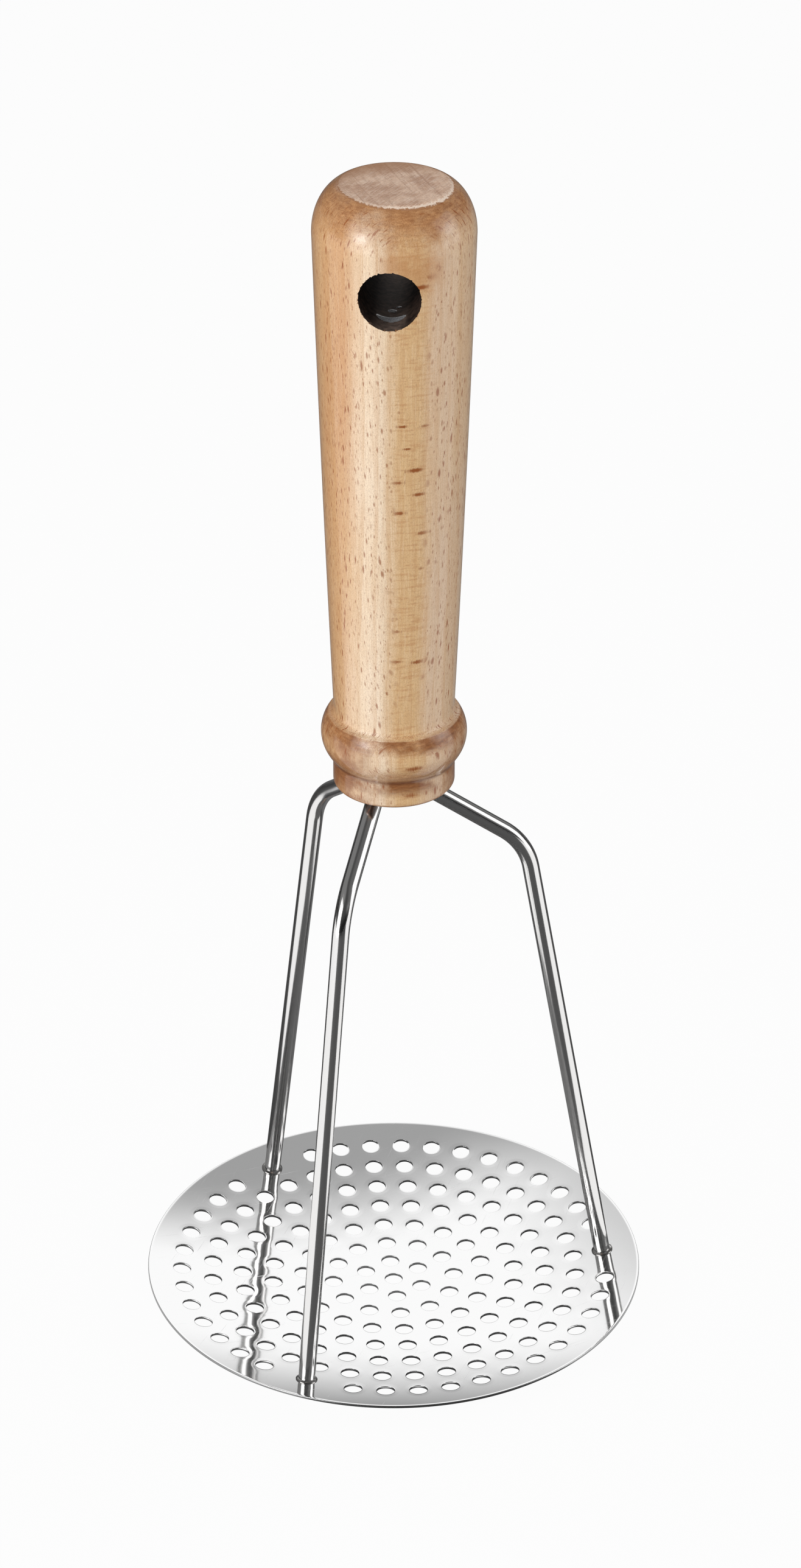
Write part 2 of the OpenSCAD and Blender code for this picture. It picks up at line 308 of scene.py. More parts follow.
def hole_cutter(sizes):
    """Drill of the hang hole, along X before it is turned, with a ragged edge where it leaves the wood."""
    half, rings, segments = sizes.grip_d / 2 + 2 * MM, 150, 180
    points, faces = [], []
    for ring in range(rings + 1):
        along = half * (2 * ring / rings - 1)
        for i in range(segments):
            turn = 2 * math.pi * i / segments
            side = Vector((0, math.cos(turn), math.sin(turn)))
            rim = math.sqrt(max(0, (sizes.grip_d / 2) ** 2 - (sizes.hang_d / 2 * side.y) ** 2))
            ragged = min(1, max(0, 1 - (rim - 0.4 * MM - abs(along)) / (1.6 * MM)))
            torn = noise.noise(side * 13 + Vector((along * 60, 3, 1))) + 0.8 * noise.noise(side * 31)
            radius = sizes.hang_d / 2 + sizes.hang_chips * ragged * max(-0.06, 1.5 * torn - 0.15)
            radius += 0.03 * MM * noise.noise(Vector((along * 900, 0, turn * 0.4)))
            # Lacquer that ran down stands on the bore's floor in a sag and, further in, two blisters
            inwards, near, far, most, reach = LACQUER_SAG
            gap = rim - along - (inwards + 1.5 * side.y ** 2) * MM
            gap /= (near if gap < 0 else far) * MM
            radius -= most * MM * math.exp(-gap ** 2) * max(0, 1 - (side.y / reach) ** 2) * (side.z < 0)
            for inwards, aside, deep, wide, most in LACQUER_BLISTERS:
                spread = math.hypot((rim - along - inwards * MM) / (deep * MM),
                                    (side.y * sizes.hang_d / 2 - aside * MM) / (wide * MM))
                radius -= most * MM * max(0, 1 - spread ** 2) * (side.z < 0)
            points.append(side * radius + Vector((along, 0, 0)))
    for ring in range(rings):
        for i in range(segments):
            a, b = ring * segments + i, ring * segments + (i + 1) % segments
            faces.append((a, b, b + segments, a + segments))
    faces.append(tuple(range(segments - 1, -1, -1)))
    faces.append(tuple(range(rings * segments, (rings + 1) * segments)))
    mesh = bpy.data.meshes.new("hang hole cutter")
    mesh.from_pydata(points, [], faces)
    middle = HANDLE_HIGH - sizes.hang_drop
    mesh.transform(Matrix.Translation((0, 0, middle)) @ Matrix.Rotation(sizes.hang_az, 4, "Z"))
    return mesh


def lacquered_beech(sizes, name, gloss, waves):
    """Steamed beech, turned along its grain, sanded and lacquered: short brown ray flecks on the sides that
    face along the rays and silky cross flecks between them, under a film of the given coat roughness and waviness."""
    material, tree, shader = new_material(name)
    where = put(tree, "ShaderNodeTexCoord")
    # X runs along the rays, Y across them and Z along the grain, which wanders by up to 1 mm
    turned = put(tree, "ShaderNodeMapping", {"Vector": where.outputs["Object"],
                                             "Rotation": (0, 0, -sizes.rays_az)}).outputs[0]
    drift = put(tree, "ShaderNodeTexNoise", {"Vector": turned, "Scale": 22, "Detail": 1})
    offset = put(tree, "ShaderNodeVectorMath", {0: drift.outputs["Color"], 1: (0.5, 0.5, 0.5)}, operation="SUBTRACT")
    grain = put(tree, "ShaderNodeVectorMath", {0: offset.outputs[0], 1: (2.4 * MM, 2.4 * MM, 0), 2: turned},
                operation="MULTIPLY_ADD").outputs[0]
    # Fibres about 0.3 mm wide and 9 mm long
    fine = put(tree, "ShaderNodeVectorMath", {0: grain, 1: (3200, 3200, 110)}, operation="MULTIPLY")
    fibres = put(tree, "ShaderNodeTexNoise", {"Vector": fine.outputs[0], "Scale": 1, "Detail": 3, "Roughness": 0.65})
    fibre = put(tree, "ShaderNodeMapRange", {"Value": fibres.outputs[0], "From Min": 0.42, "From Max": 0.66})
    silk = put(tree, "ShaderNodeMapRange", {"Value": fibres.outputs[0], "From Min": 0.5, "From Max": 0.34})
    # Pores about 0.2 mm wide and 0.35 mm long
    dotted = put(tree, "ShaderNodeVectorMath", {0: grain, 1: (5200, 5200, 2900)}, operation="MULTIPLY")
    dots = put(tree, "ShaderNodeTexNoise", {"Vector": dotted.outputs[0], "Scale": 1, "Detail": 2})
    pore = put(tree, "ShaderNodeMapRange", {"Value": dots.outputs[0], "From Min": 0.42, "From Max": 0.72})
    # How squarely the surface faces along the rays, which shows their ends
    ray_way = (math.cos(sizes.rays_az), math.sin(sizes.rays_az), 0)
    ray_face = put(tree, "ShaderNodeVectorMath", {0: where.outputs["Normal"], 1: ray_way}, operation="DOT_PRODUCT")
    ends = put(tree, "ShaderNodeMath", {0: ray_face.outputs["Value"]}, operation="ABSOLUTE")
    across_rays = put(tree, "ShaderNodeMapRange", {"Value": ends.outputs[0], "From Min": 0.1, "From Max": 0.4},
                      interpolation_type="SMOOTHSTEP").outputs[0]
    along_rays = put(tree, "ShaderNodeMath", {0: 1.0, 1: across_rays}, operation="SUBTRACT").outputs[0]
    uneven = put(tree, "ShaderNodeMapRange", {"Value": fibres.outputs[0], "From Min": 0.3, "From Max": 0.7,
                                              "To Min": 0.6, "To Max": 1.4}).outputs[0]
    # Cells of rays and half the size of one ray in mm: along the ray, thick, tall. Ray ends, then flat rays
    flecks = None
    for cell, ray, share, side in (((3.2, 1, 3.3), (1.3, 0.12, 0.8), 1, across_rays),
                                   ((2.2, 0.4, 1.8), (1, 0.055, 0.5), 0.9, across_rays),
                                   ((5.6, 1.8, 5.4), (2.4, 0.6, 0.6), 1, along_rays)):
        inside = put(tree, "ShaderNodeVectorMath", {0: grain, 1: [1 / (c * MM) for c in cell]}, operation="MULTIPLY")
        cells = put(tree, "ShaderNodeTexVoronoi", {"Vector": inside.outputs[0], "Scale": 1})
        away = put(tree, "ShaderNodeVectorMath", {0: inside.outputs[0], 1: cells.outputs["Position"]},
                   operation="SUBTRACT")
        shaped = put(tree, "ShaderNodeVectorMath", {0: away.outputs[0], 1: [c / r for c, r in zip(cell, ray)]},
                     operation="MULTIPLY")
        reach = put(tree, "ShaderNodeVectorMath", {0: shaped.outputs[0]}, operation="LENGTH")
        chance = put(tree, "ShaderNodeSeparateColor", {"Color": cells.outputs["Color"]})
        smaller = put(tree, "ShaderNodeMapRange", {"Value": chance.outputs[0], "To Min": 0.75, "To Max": 2.2})
        size = put(tree, "ShaderNodeMath", {0: reach.outputs["Value"], 1: smaller.outputs[0]}, operation="MULTIPLY")
        ragged = put(tree, "ShaderNodeMath", {0: size.outputs[0], 1: uneven}, operation="MULTIPLY")
        fleck = put(tree, "ShaderNodeMapRange", {"Value": ragged.outputs[0], "From Min": 0.45, "From Max": 1.35,
                                                 "To Min": share, "To Max": 0}, interpolation_type="SMOOTHSTEP")
        shown = put(tree, "ShaderNodeMath", {0: fleck.outputs[0], 1: side}, operation="MULTIPLY").outputs[0]
        flecks = shown if flecks is None else put(
            tree, "ShaderNodeMath", {0: flecks, 1: shown}, operation="MAXIMUM").outputs[0]
    # Silky bands about 0.6 mm tall and 4 mm wide where the surface runs along the rays
    banded = put(tree, "ShaderNodeVectorMath", {0: grain, 1: (260, 260, 1700)}, operation="MULTIPLY")
    bands = put(tree, "ShaderNodeTexNoise", {"Vector": banded.outputs[0], "Scale": 1, "Detail": 2})
    band = put(tree, "ShaderNodeMapRange", {"Value": bands.outputs[0], "From Min": 0.5, "From Max": 0.66,
                                            "To Max": 0.5})
    shimmer = put(tree, "ShaderNodeMath", {0: band.outputs[0], 1: along_rays}, operation="MULTIPLY")
    # Clouds of colour about 7 mm wide and 50 mm long
    broad = put(tree, "ShaderNodeVectorMath", {0: grain, 1: (140, 140, 20)}, operation="MULTIPLY")
    clouds = put(tree, "ShaderNodeTexNoise", {"Vector": broad.outputs[0], "Scale": 1, "Detail": 2})
    cloud = put(tree, "ShaderNodeMapRange", {"Value": clouds.outputs[0], "From Min": 0.35, "From Max": 0.7,
                                             "To Max": 0.45})
    # The tree's years differ in colour and in how strongly their flecks show, which is kept as the colour's alpha: warm
    # at the left, where the amber is partly painted shade of the dimly lit left edge, then pale, which is partly a
    # painted highlight of the left soft light, then tan and rosy towards the right
    parts = put(tree, "ShaderNodeSeparateXYZ", {"Vector": grain})
    across = put(tree, "ShaderNodeMapRange", {"Value": parts.outputs[0], "From Min": -17 * MM, "From Max": 17 * MM})
    years = put(tree, "ShaderNodeValToRGB", {0: across.outputs[0]})
    ramp = years.color_ramp.elements
    for place, tone, shown in ((0.01, sizes.amber_and_edge_shade, 1), (0.125, sizes.amber_and_edge_shade, 1), (0.225, sizes.pale, 0.72),
                               (0.33, sizes.pale, 0.72), (0.44, sizes.tan, 0.95), (0.55, sizes.tan, 0.95),
                               (0.66, sizes.rosy, 0.8), (0.8, sizes.rosy, 0.9), (0.9, sizes.rosy, 1)):
        ramp.new(place).color = (*tone, shown)
    ramp[0].color = ramp[1].color
    ramp[-1].color = ramp[-2].color
    # Growth rings about 2.6 mm apart, square to the rays
    bent = put(tree, "ShaderNodeMath", {0: clouds.outputs[0], 1: 1.1}, operation="MULTIPLY")
    year = put(tree, "ShaderNodeMath", {0: parts.outputs[0], 1: 1 / (2.6 * MM), 2: bent.outputs[0]},
               operation="MULTIPLY_ADD")
    season = put(tree, "ShaderNodeMath", {0: year.outputs[0]}, operation="FRACT")
    late = put(tree, "ShaderNodeMapRange", {"Value": season.outputs[0], "From Min": 0.5, "From Max": 0.97,
                                            "To Min": 0, "To Max": 0.3}, interpolation_type="SMOOTHSTEP")
    # Fibres that are cut across drink in more lacquer and turn brown, with the marks of sanding on the lathe
    facing = put(tree, "ShaderNodeSeparateXYZ", {"Vector": where.outputs["Normal"]}).outputs[2]
    tilt = put(tree, "ShaderNodeMath", {0: facing}, operation="ABSOLUTE")
    cut = put(tree, "ShaderNodeMapRange", {"Value": tilt.outputs[0], "From Min": 0.03, "From Max": 0.62},
              interpolation_type="SMOOTHSTEP")
    turning = put(tree, "ShaderNodeVectorMath", {0: where.outputs["Object"], 1: (650, 650, 2600)},
                  operation="MULTIPLY")
    lines = put(tree, "ShaderNodeTexNoise", {"Vector": turning.outputs[0], "Scale": 1, "Detail": 3})
    line = put(tree, "ShaderNodeMapRange", {"Value": lines.outputs[0], "From Min": 0.2, "From Max": 0.7})
    browns = put(tree, "ShaderNodeMix", {0: line.outputs[0], 6: opaque(sizes.end_brown),
                                         7: opaque(sizes.end_tan)}, data_type="RGBA").outputs[2]
    # Four places turn brown, in patches of about 7 mm: the sides of the bead and the collar, darker where they face
    # along the rays; the front below the top and the upper half of the bead, stained by the lacquer; and the upper edge
    # of the collar, which is painted shadow of the bead
    height_up = put(tree, "ShaderNodeSeparateXYZ", {"Vector": where.outputs["Object"]}).outputs[2]
    patches = put(tree, "ShaderNodeTexNoise", {"Vector": where.outputs["Object"], "Scale": 140, "Detail": 5,
                                               "Roughness": 0.6})
    patch = put(tree, "ShaderNodeMapRange", {"Value": patches.outputs[0], "From Min": 0.4, "From Max": 0.58,
                                             "To Min": 0.15, "To Max": 1})
    # Deep brown, for the stained upper half of the bead and for the painted shadow on the collar
    deep = put(tree, "ShaderNodeMix", {0: line.outputs[0], 6: opaque(linear("6B3C1E")), 7: opaque(linear("9A663C"))},
               data_type="RGBA").outputs[2]
    brown_patches = []
    for low, high, value, first, last, most in (
            (HANDLE_LOW + 19 * MM, HANDLE_LOW + 15 * MM, ends.outputs[0], 0.3, 0.85, 0.8),
            (HANDLE_HIGH - 27 * MM, HANDLE_HIGH - 10 * MM, ends.outputs[0], 0.5, 0.25, 0.75),
            (HANDLE_LOW + 17.5 * MM, HANDLE_LOW + 17.0 * MM, facing, 0.1, 0.38, 1),
            # Painted shadow of the bead on the collar's upper edge
            (HANDLE_LOW + 7.4 * MM, HANDLE_LOW + 6.6 * MM, height_up, HANDLE_LOW + 1.8 * MM,
             HANDLE_LOW + 5.4 * MM, 1)):
        upright = put(tree, "ShaderNodeMapRange", {"Value": height_up, "From Min": low, "From Max": high,
                                                   "To Max": most}, interpolation_type="SMOOTHSTEP")
        sideways = put(tree, "ShaderNodeMapRange", {"Value": value, "From Min": first, "From Max": last,
                                                    "To Max": 1}, interpolation_type="SMOOTHSTEP")
        place = put(tree, "ShaderNodeMath", {0: upright.outputs[0], 1: sideways.outputs[0]}, operation="MULTIPLY")
        brown_patches.append(put(tree, "ShaderNodeMath", {0: place.outputs[0], 1: patch.outputs[0]}, operation="MULTIPLY"))
    soaked = put(tree, "ShaderNodeMath", {0: cut.outputs[0], 1: put(
        tree, "ShaderNodeMapRange", {"Value": patches.outputs[0], "From Min": 0.3, "From Max": 0.6,
                                     "To Min": 0.45, "To Max": 0.95}).outputs[0]}, operation="MULTIPLY")
    # The lacquer that fills the groove kept its wood pale, from the bead's roll to the grip
    grooved = put(tree, "ShaderNodeMath", {0: height_up, 1: HANDLE_LOW + 18.2 * MM, 2: 1.1 * MM}, operation="COMPARE")
    unfilled = put(tree, "ShaderNodeMath", {0: 1, 1: grooved.outputs[0]}, operation="SUBTRACT")
    soaked = put(tree, "ShaderNodeMath", {0: soaked.outputs[0], 1: unfilled.outputs[0]}, operation="MULTIPLY")
    # Painted shade: surfaces that face down, the lower face and the bead's lower slope, turn nearly black
    underside = put(tree, "ShaderNodeMapRange", {"Value": facing, "From Min": -0.6, "From Max": -0.95,
                                                 "To Max": 0.95}, interpolation_type="SMOOTHSTEP")
    # Painted shade in the corner between bead and collar, partly lacquer gathered there
    lacquer_and_shade_creases = put(tree, "ShaderNodeAttribute", attribute_name="lacquer_and_shade_crease").outputs["Fac"]
    faint = put(tree, "ShaderNodeMath", {0: fibre.outputs[0], 1: 0.26}, operation="MULTIPLY")
    bright = put(tree, "ShaderNodeMath", {0: silk.outputs[0], 1: 0.16}, operation="MULTIPLY")
    porous = put(tree, "ShaderNodeMath", {0: cut.outputs[0], 1: 0.3, 2: 0.26}, operation="MULTIPLY_ADD")
    pitted = put(tree, "ShaderNodeMath", {0: pore.outputs[0], 1: porous.outputs[0]}, operation="MULTIPLY")
    marked = put(tree, "ShaderNodeMath", {0: flecks, 1: years.outputs[1]}, operation="MULTIPLY")
    tone = years.outputs[0]
    for amount, over in ((cloud.outputs[0], opaque(sizes.tan)), (late.outputs[0], opaque(sizes.late)),
                         (shimmer.outputs[0], opaque(sizes.end_tan)), (bright.outputs[0], opaque(sizes.pale)),
                         (faint.outputs[0], opaque(sizes.end_tan)),
                         (brown_patches[0].outputs[0], opaque(sizes.end_brown)),
                         (brown_patches[1].outputs[0], opaque(sizes.end_tan)), (soaked.outputs[0], browns),
                         # The fourth brown patch is painted shadow of the bead on the collar
                         (brown_patches[2].outputs[0], deep), (brown_patches[3].outputs[0], deep),
                         # Painted shade under the handle
                         (underside.outputs[0], opaque(linear("1E1511"))),
                         (pitted.outputs[0], opaque(sizes.end_brown)), (marked.outputs[0], opaque(sizes.fleck)),
                         # Painted shade in the corner between bead and collar, partly lacquer gathered there
                         (lacquer_and_shade_creases, opaque(sizes.lacquer_and_shade_crease))):
        tone = put(tree, "ShaderNodeMix", {0: amount, 6: tone, 7: over}, data_type="RGBA").outputs[2]
    height = put(tree, "ShaderNodeMath", {0: fibre.outputs[0], 1: flecks}, operation="ADD")
    relief = put(tree, "ShaderNodeBump", {"Strength": 0.35, "Distance": 0.02 * MM, "Height": height.outputs[0]},
                 invert=True)
    # The lacquer follows the sanded wood in waves of about 0.4 mm
    ripple = put(tree, "ShaderNodeTexNoise", {"Vector": where.outputs["Object"], "Scale": 2600, "Detail": 3})
    film = put(tree, "ShaderNodeBump", {"Strength": waves, "Distance": 0.022 * MM, "Height": ripple.outputs[0]})
    tree.links.new(tone, shader.inputs["Base Color"])
    tree.links.new(relief.outputs[0], shader.inputs["Normal"])
    tree.links.new(film.outputs[0], shader.inputs["Coat Normal"])
    shader.inputs["Roughness"].default_value = 0.5
    shader.inputs["Specular IOR Level"].default_value = 0.15
    shader.inputs["Coat Weight"].default_value = 1
    shader.inputs["Coat Roughness"].default_value = gloss
    return material


def sawn_beech(sizes):
    """Beech sawn across its grain and roughly sanded: matt, greyish pink, with rings and slanting scratches."""
    material, tree, shader = new_material("beech_sawn_end_grain")
    where = put(tree, "ShaderNodeTexCoord").outputs["Object"]
    grain = put(tree, "ShaderNodeMapping", {"Vector": where, "Rotation": (0, 0, -sizes.rays_az)}).outputs[0]
    # Sanding scratches about 0.25 mm apart and 4 mm long
    scratches = put(tree, "ShaderNodeTexNoise", {"Vector": slanted(tree, where, 58, (260, 3600, 260)), "Scale": 1,
                                                 "Detail": 3})
    # Marks of the saw about 1.2 mm apart right across the face, in the other direction
    kerfs = put(tree, "ShaderNodeTexNoise", {"Vector": slanted(tree, where, 111, (50, 1900, 50)), "Scale": 1,
                                             "Detail": 4})
    kerf = put(tree, "ShaderNodeMapRange", {"Value": kerfs.outputs[0], "From Min": 0.56, "From Max": 0.7,
                                            "To Max": 0.6})
    # Pores about 0.3 mm apart
    pores = put(tree, "ShaderNodeTexNoise", {"Vector": grain, "Scale": 3300, "Detail": 1})
    # Rings 2.6 mm apart, with rays as thin lines across them
    across = put(tree, "ShaderNodeSeparateXYZ", {"Vector": grain})
    year = put(tree, "ShaderNodeMath", {0: across.outputs[0], 1: 1 / (2.6 * MM)}, operation="MULTIPLY")
    season = put(tree, "ShaderNodeMath", {0: year.outputs[0]}, operation="FRACT")
    late = put(tree, "ShaderNodeMapRange", {"Value": season.outputs[0], "From Min": 0.5, "From Max": 0.97,
                                            "To Min": 0, "To Max": 0.2}, interpolation_type="SMOOTHSTEP")
    brown_patches = put(tree, "ShaderNodeTexNoise", {"Vector": where, "Scale": 230, "Detail": 6, "Roughness": 0.7})
    stain = put(tree, "ShaderNodeMapRange", {"Value": brown_patches.outputs[0], "From Min": 0.42, "From Max": 0.6,
                                             "To Max": 0.9})
    grey = put(tree, "ShaderNodeMapRange", {"Value": scratches.outputs[0], "From Min": 0.46, "From Max": 0.66,
                                            "To Max": 0.4})
    dots = put(tree, "ShaderNodeMapRange", {"Value": pores.outputs[0], "From Min": 0.5, "From Max": 0.75,
                                            "To Min": 0, "To Max": 0.4})
    # The back left is brown. The edge frays into lacquered wood, after a pale line at the front right
    level = put(tree, "ShaderNodeVectorMath", {0: where, 1: (1, 1, 0)}, operation="MULTIPLY").outputs[0]
    radius = put(tree, "ShaderNodeVectorMath", {0: level}, operation="LENGTH").outputs["Value"]
    frayed = put(tree, "ShaderNodeMath", {0: brown_patches.outputs[0], 1: 5 * MM, 2: radius}, operation="MULTIPLY_ADD")
    back_left = put(tree, "ShaderNodeVectorMath", {0: level, 1: (-0.34, 0.94, 0)}, operation="DOT_PRODUCT")
    outer = put(tree, "ShaderNodeMath", {0: frayed.outputs[0], 1: back_left.outputs["Value"]}, operation="ADD")
    browned = put(tree, "ShaderNodeMapRange", {"Value": outer.outputs[0], "From Min": 12 * MM,
                                               "From Max": 23 * MM, "To Max": 0.8})
    way = put(tree, "ShaderNodeVectorMath", {0: level}, operation="NORMALIZE").outputs[0]
    front_right = put(tree, "ShaderNodeMath", {0: put(
        tree, "ShaderNodeVectorMath", {0: way, 1: (0.6, -0.8, 0)}, operation="DOT_PRODUCT").outputs["Value"], 1: 0.0},
        operation="MAXIMUM").outputs[0]
    frays = put(tree, "ShaderNodeTexNoise", {"Vector": where, "Scale": 1700, "Detail": 3})
    inwards = put(tree, "ShaderNodeMath", {0: front_right, 1: 1.1 * MM, 2: put(
        tree, "ShaderNodeMath", {0: sizes.top_d / 2 + 0.5 * MM, 1: radius}, operation="SUBTRACT").outputs[0]},
        operation="MULTIPLY_ADD")
    inside = put(tree, "ShaderNodeMath", {0: frays.outputs[0], 1: -1.4 * MM, 2: inwards.outputs[0]},
                 operation="MULTIPLY_ADD").outputs[0]
    fringe = put(tree, "ShaderNodeMapRange", {"Value": inside, "From Min": 0.1 * MM, "From Max": -0.25 * MM,
                                              "To Max": 0.95}, interpolation_type="SMOOTHSTEP")
    thin = put(tree, "ShaderNodeMapRange", {"Value": inside, "From Min": 0.7 * MM, "From Max": 0.2 * MM,
                                            "To Max": 0.75}, interpolation_type="SMOOTHSTEP")
    worn = put(tree, "ShaderNodeMath", {0: thin.outputs[0], 1: front_right}, operation="MULTIPLY")
    tone = put(tree, "ShaderNodeMix", {0: stain.outputs[0], 6: opaque(linear("DDBCA2")), 7: opaque(linear("BA9277"))},
               data_type="RGBA").outputs[2]
    for amount, over in ((late.outputs[0], linear("B08A70")), (grey.outputs[0], linear("EEDBCA")),
                         (kerf.outputs[0], linear("A88068")), (dots.outputs[0], linear("93705C")), (browned.outputs[0], linear("A47550")),
                         (worn.outputs[0], linear("EEDDCB")), (fringe.outputs[0], linear("9C6A40"))):
        tone = put(tree, "ShaderNodeMix", {0: amount, 6: tone, 7: opaque(over)}, data_type="RGBA").outputs[2]
    rough = put(tree, "ShaderNodeMath", {0: scratches.outputs[0], 1: kerfs.outputs[0]}, operation="ADD")
    relief = put(tree, "ShaderNodeBump", {"Strength": 0.5, "Distance": 0.05 * MM, "Height": rough.outputs[0]})
    tree.links.new(tone, shader.inputs["Base Color"])
    tree.links.new(relief.outputs[0], shader.inputs["Normal"])
    shader.inputs["Roughness"].default_value = 0.62
    return material


def drilled_beech(sizes):
    """Beech burnt and smeared by the drill, then flooded with lacquer: nearly black and wet looking."""
    material, tree, shader = new_material("beech_drilled_lacquered")
    where = put(tree, "ShaderNodeTexCoord").outputs["Object"]
    # Smears about 1 mm wide
    smears = put(tree, "ShaderNodeTexNoise", {"Vector": where, "Scale": 900, "Detail": 3})
    amount = put(tree, "ShaderNodeMapRange", {"Value": smears.outputs[0], "From Min": 0.4, "From Max": 0.7})
    tone = put(tree, "ShaderNodeMix", {0: amount.outputs[0], 6: opaque(sizes.bore), 7: opaque(linear("4A3A32"))},
               data_type="RGBA").outputs[2]
    # Dust lies on the floor of the hole
    lies = put(tree, "ShaderNodeSeparateXYZ", {"Vector": put(tree, "ShaderNodeTexCoord").outputs["Normal"]})
    settled = put(tree, "ShaderNodeMapRange", {"Value": lies.outputs[2], "From Min": 0.8, "From Max": 1})
    dusty = put(tree, "ShaderNodeMath", {0: settled.outputs[0], 1: smears.outputs[0]}, operation="MULTIPLY")
    tone = put(tree, "ShaderNodeMix", {0: dusty.outputs[0], 6: tone, 7: opaque(linear("8A776B"))},
               data_type="RGBA").outputs[2]
    relief = put(tree, "ShaderNodeBump", {"Strength": 0.3, "Distance": 0.02 * MM, "Height": smears.outputs[0]})
    tree.links.new(tone, shader.inputs["Base Color"])
    tree.links.new(relief.outputs[0], shader.inputs["Normal"])
    shader.inputs["Roughness"].default_value = 0.5
    shader.inputs["Specular IOR Level"].default_value = 0.06
    return material


def run_lacquer(sizes):
    """Lacquer that ran together in the drilled hole: glassy over the dark wood, with a pale grey speckle that is a
    painted reflection of the bright room.
    """
    material, tree, shader = new_material("lacquer_run")
    where = put(tree, "ShaderNodeTexCoord").outputs["Object"]
    # Pale grey speckle about 0.3 mm wide, a painted reflection
    painted_reflection = put(tree, "ShaderNodeTexNoise", {"Vector": where, "Scale": 3300, "Detail": 2})
    tone = put(tree, "ShaderNodeMix", {0: painted_reflection.outputs[0], 6: opaque(sizes.bore), 7: opaque(linear("D2D4D8"))},
               data_type="RGBA").outputs[2]
    tree.links.new(tone, shader.inputs["Base Color"])
    shader.inputs["Roughness"].default_value = 0.12
    shader.inputs["Coat Weight"].default_value = 1
    return material


def drawn_wire(sizes):
    """Stainless wire, drawn and polished: a bright mirror with hair-fine lines along its length."""
    material, tree, shader = new_material("stainless_wire_polished")
    side = put(tree, "ShaderNodeAttribute", attribute_name="side").outputs["Vector"]
    along = put(tree, "ShaderNodeAttribute", attribute_name="along").outputs["Fac"]
    # Draw lines about 0.2 mm apart and 30 mm long
    round_wire = put(tree, "ShaderNodeVectorMath", {0: side, 1: (9, 9, 9)}, operation="MULTIPLY")
    run = put(tree, "ShaderNodeCombineXYZ", {"Z": put(
        tree, "ShaderNodeMath", {0: along, 1: 1 / (30 * MM)}, operation="MULTIPLY").outputs[0]})
    place = put(tree, "ShaderNodeVectorMath", {0: round_wire.outputs[0], 1: run.outputs[0]}, operation="ADD")
    lines = put(tree, "ShaderNodeTexNoise", {"Vector": place.outputs[0], "Scale": 1, "Detail": 2})
    relief = put(tree, "ShaderNodeBump", {"Strength": 0.25, "Distance": 0.012 * MM, "Height": lines.outputs[0]})
    rough = put(tree, "ShaderNodeMapRange", {"Value": lines.outputs[0], "To Min": 0.1, "To Max": 0.19})
    # Welding left the lowest 0.5 mm dark
    burnt = put(tree, "ShaderNodeMapRange", {"Value": along, "From Min": 0.3 * MM, "From Max": 0.6 * MM,
                                             "To Min": 0.45, "To Max": 0}, interpolation_type="SMOOTHSTEP")
    tone = put(tree, "ShaderNodeMix", {0: burnt.outputs[0], 6: opaque(sizes.steel), 7: opaque(linear("6A625C"))},
               data_type="RGBA")
    tree.links.new(relief.outputs[0], shader.inputs["Normal"])
    tree.links.new(rough.outputs[0], shader.inputs["Roughness"])
    tree.links.new(tone.outputs[2], shader.inputs["Base Color"])
    shader.inputs["Metallic"].default_value = 1
    return material


def pressed_sheet(sizes):
    """Stainless sheet, punched, pressed to a dish and polished: a clear mirror, slightly wavy from the press,
    with faint scratches from use."""
    material, tree, shader = new_material("stainless_sheet_polished")
    where = put(tree, "ShaderNodeTexCoord").outputs["Object"]
    # Waves from the press, about 9 mm from crest to crest
    waves = put(tree, "ShaderNodeTexNoise", {"Vector": where, "Scale": 110, "Detail": 1})
    wavy = put(tree, "ShaderNodeBump", {"Strength": 1, "Distance": 0.012 * MM, "Height": waves.outputs[0]})
    # Hairline scratches in two directions, 0.1 mm wide and about 10 mm long
    marks = None
    for turn in (24, 71):
        hairs = put(tree, "ShaderNodeTexNoise", {"Vector": slanted(tree, where, turn, (90, 7000, 90)), "Scale": 1,
                                                 "Detail": 1})
        hair = put(tree, "ShaderNodeMapRange", {"Value": hairs.outputs[0], "From Min": 0.72, "From Max": 0.82})
        marks = hair.outputs[0] if marks is None else put(
            tree, "ShaderNodeMath", {0: marks, 1: hair.outputs[0]}, operation="MAXIMUM").outputs[0]
    scratched = put(tree, "ShaderNodeBump", {"Strength": 0.2, "Distance": 0.006 * MM, "Height": marks,
                                             "Normal": wavy.outputs[0]}, invert=True)
    # The sheared rim is duller and greyer than the faces
    level = put(tree, "ShaderNodeVectorMath", {0: where, 1: (1, 1, 0)}, operation="MULTIPLY")
    radius = put(tree, "ShaderNodeVectorMath", {0: level.outputs[0]}, operation="LENGTH").outputs["Value"]
    sheared = put(tree, "ShaderNodeMapRange", {"Value": radius, "From Min": sizes.disc_d / 2 - 0.16 * MM,
                                               "From Max": sizes.disc_d / 2 - 0.06 * MM})
    rough = put(tree, "ShaderNodeMapRange", {"Value": put(
        tree, "ShaderNodeMath", {0: marks, 1: sheared.outputs[0]}, operation="MAXIMUM").outputs[0],
        "To Min": 0.06, "To Max": 0.34})
    tone = put(tree, "ShaderNodeMix", {0: sheared.outputs[0], 6: opaque(sizes.steel), 7: opaque(linear("8E8E8E"))},
               data_type="RGBA")
    tree.links.new(scratched.outputs[0], shader.inputs["Normal"])
    tree.links.new(rough.outputs[0], shader.inputs["Roughness"])
    tree.links.new(tone.outputs[2], shader.inputs["Base Color"])
    shader.inputs["Metallic"].default_value = 1
    return material


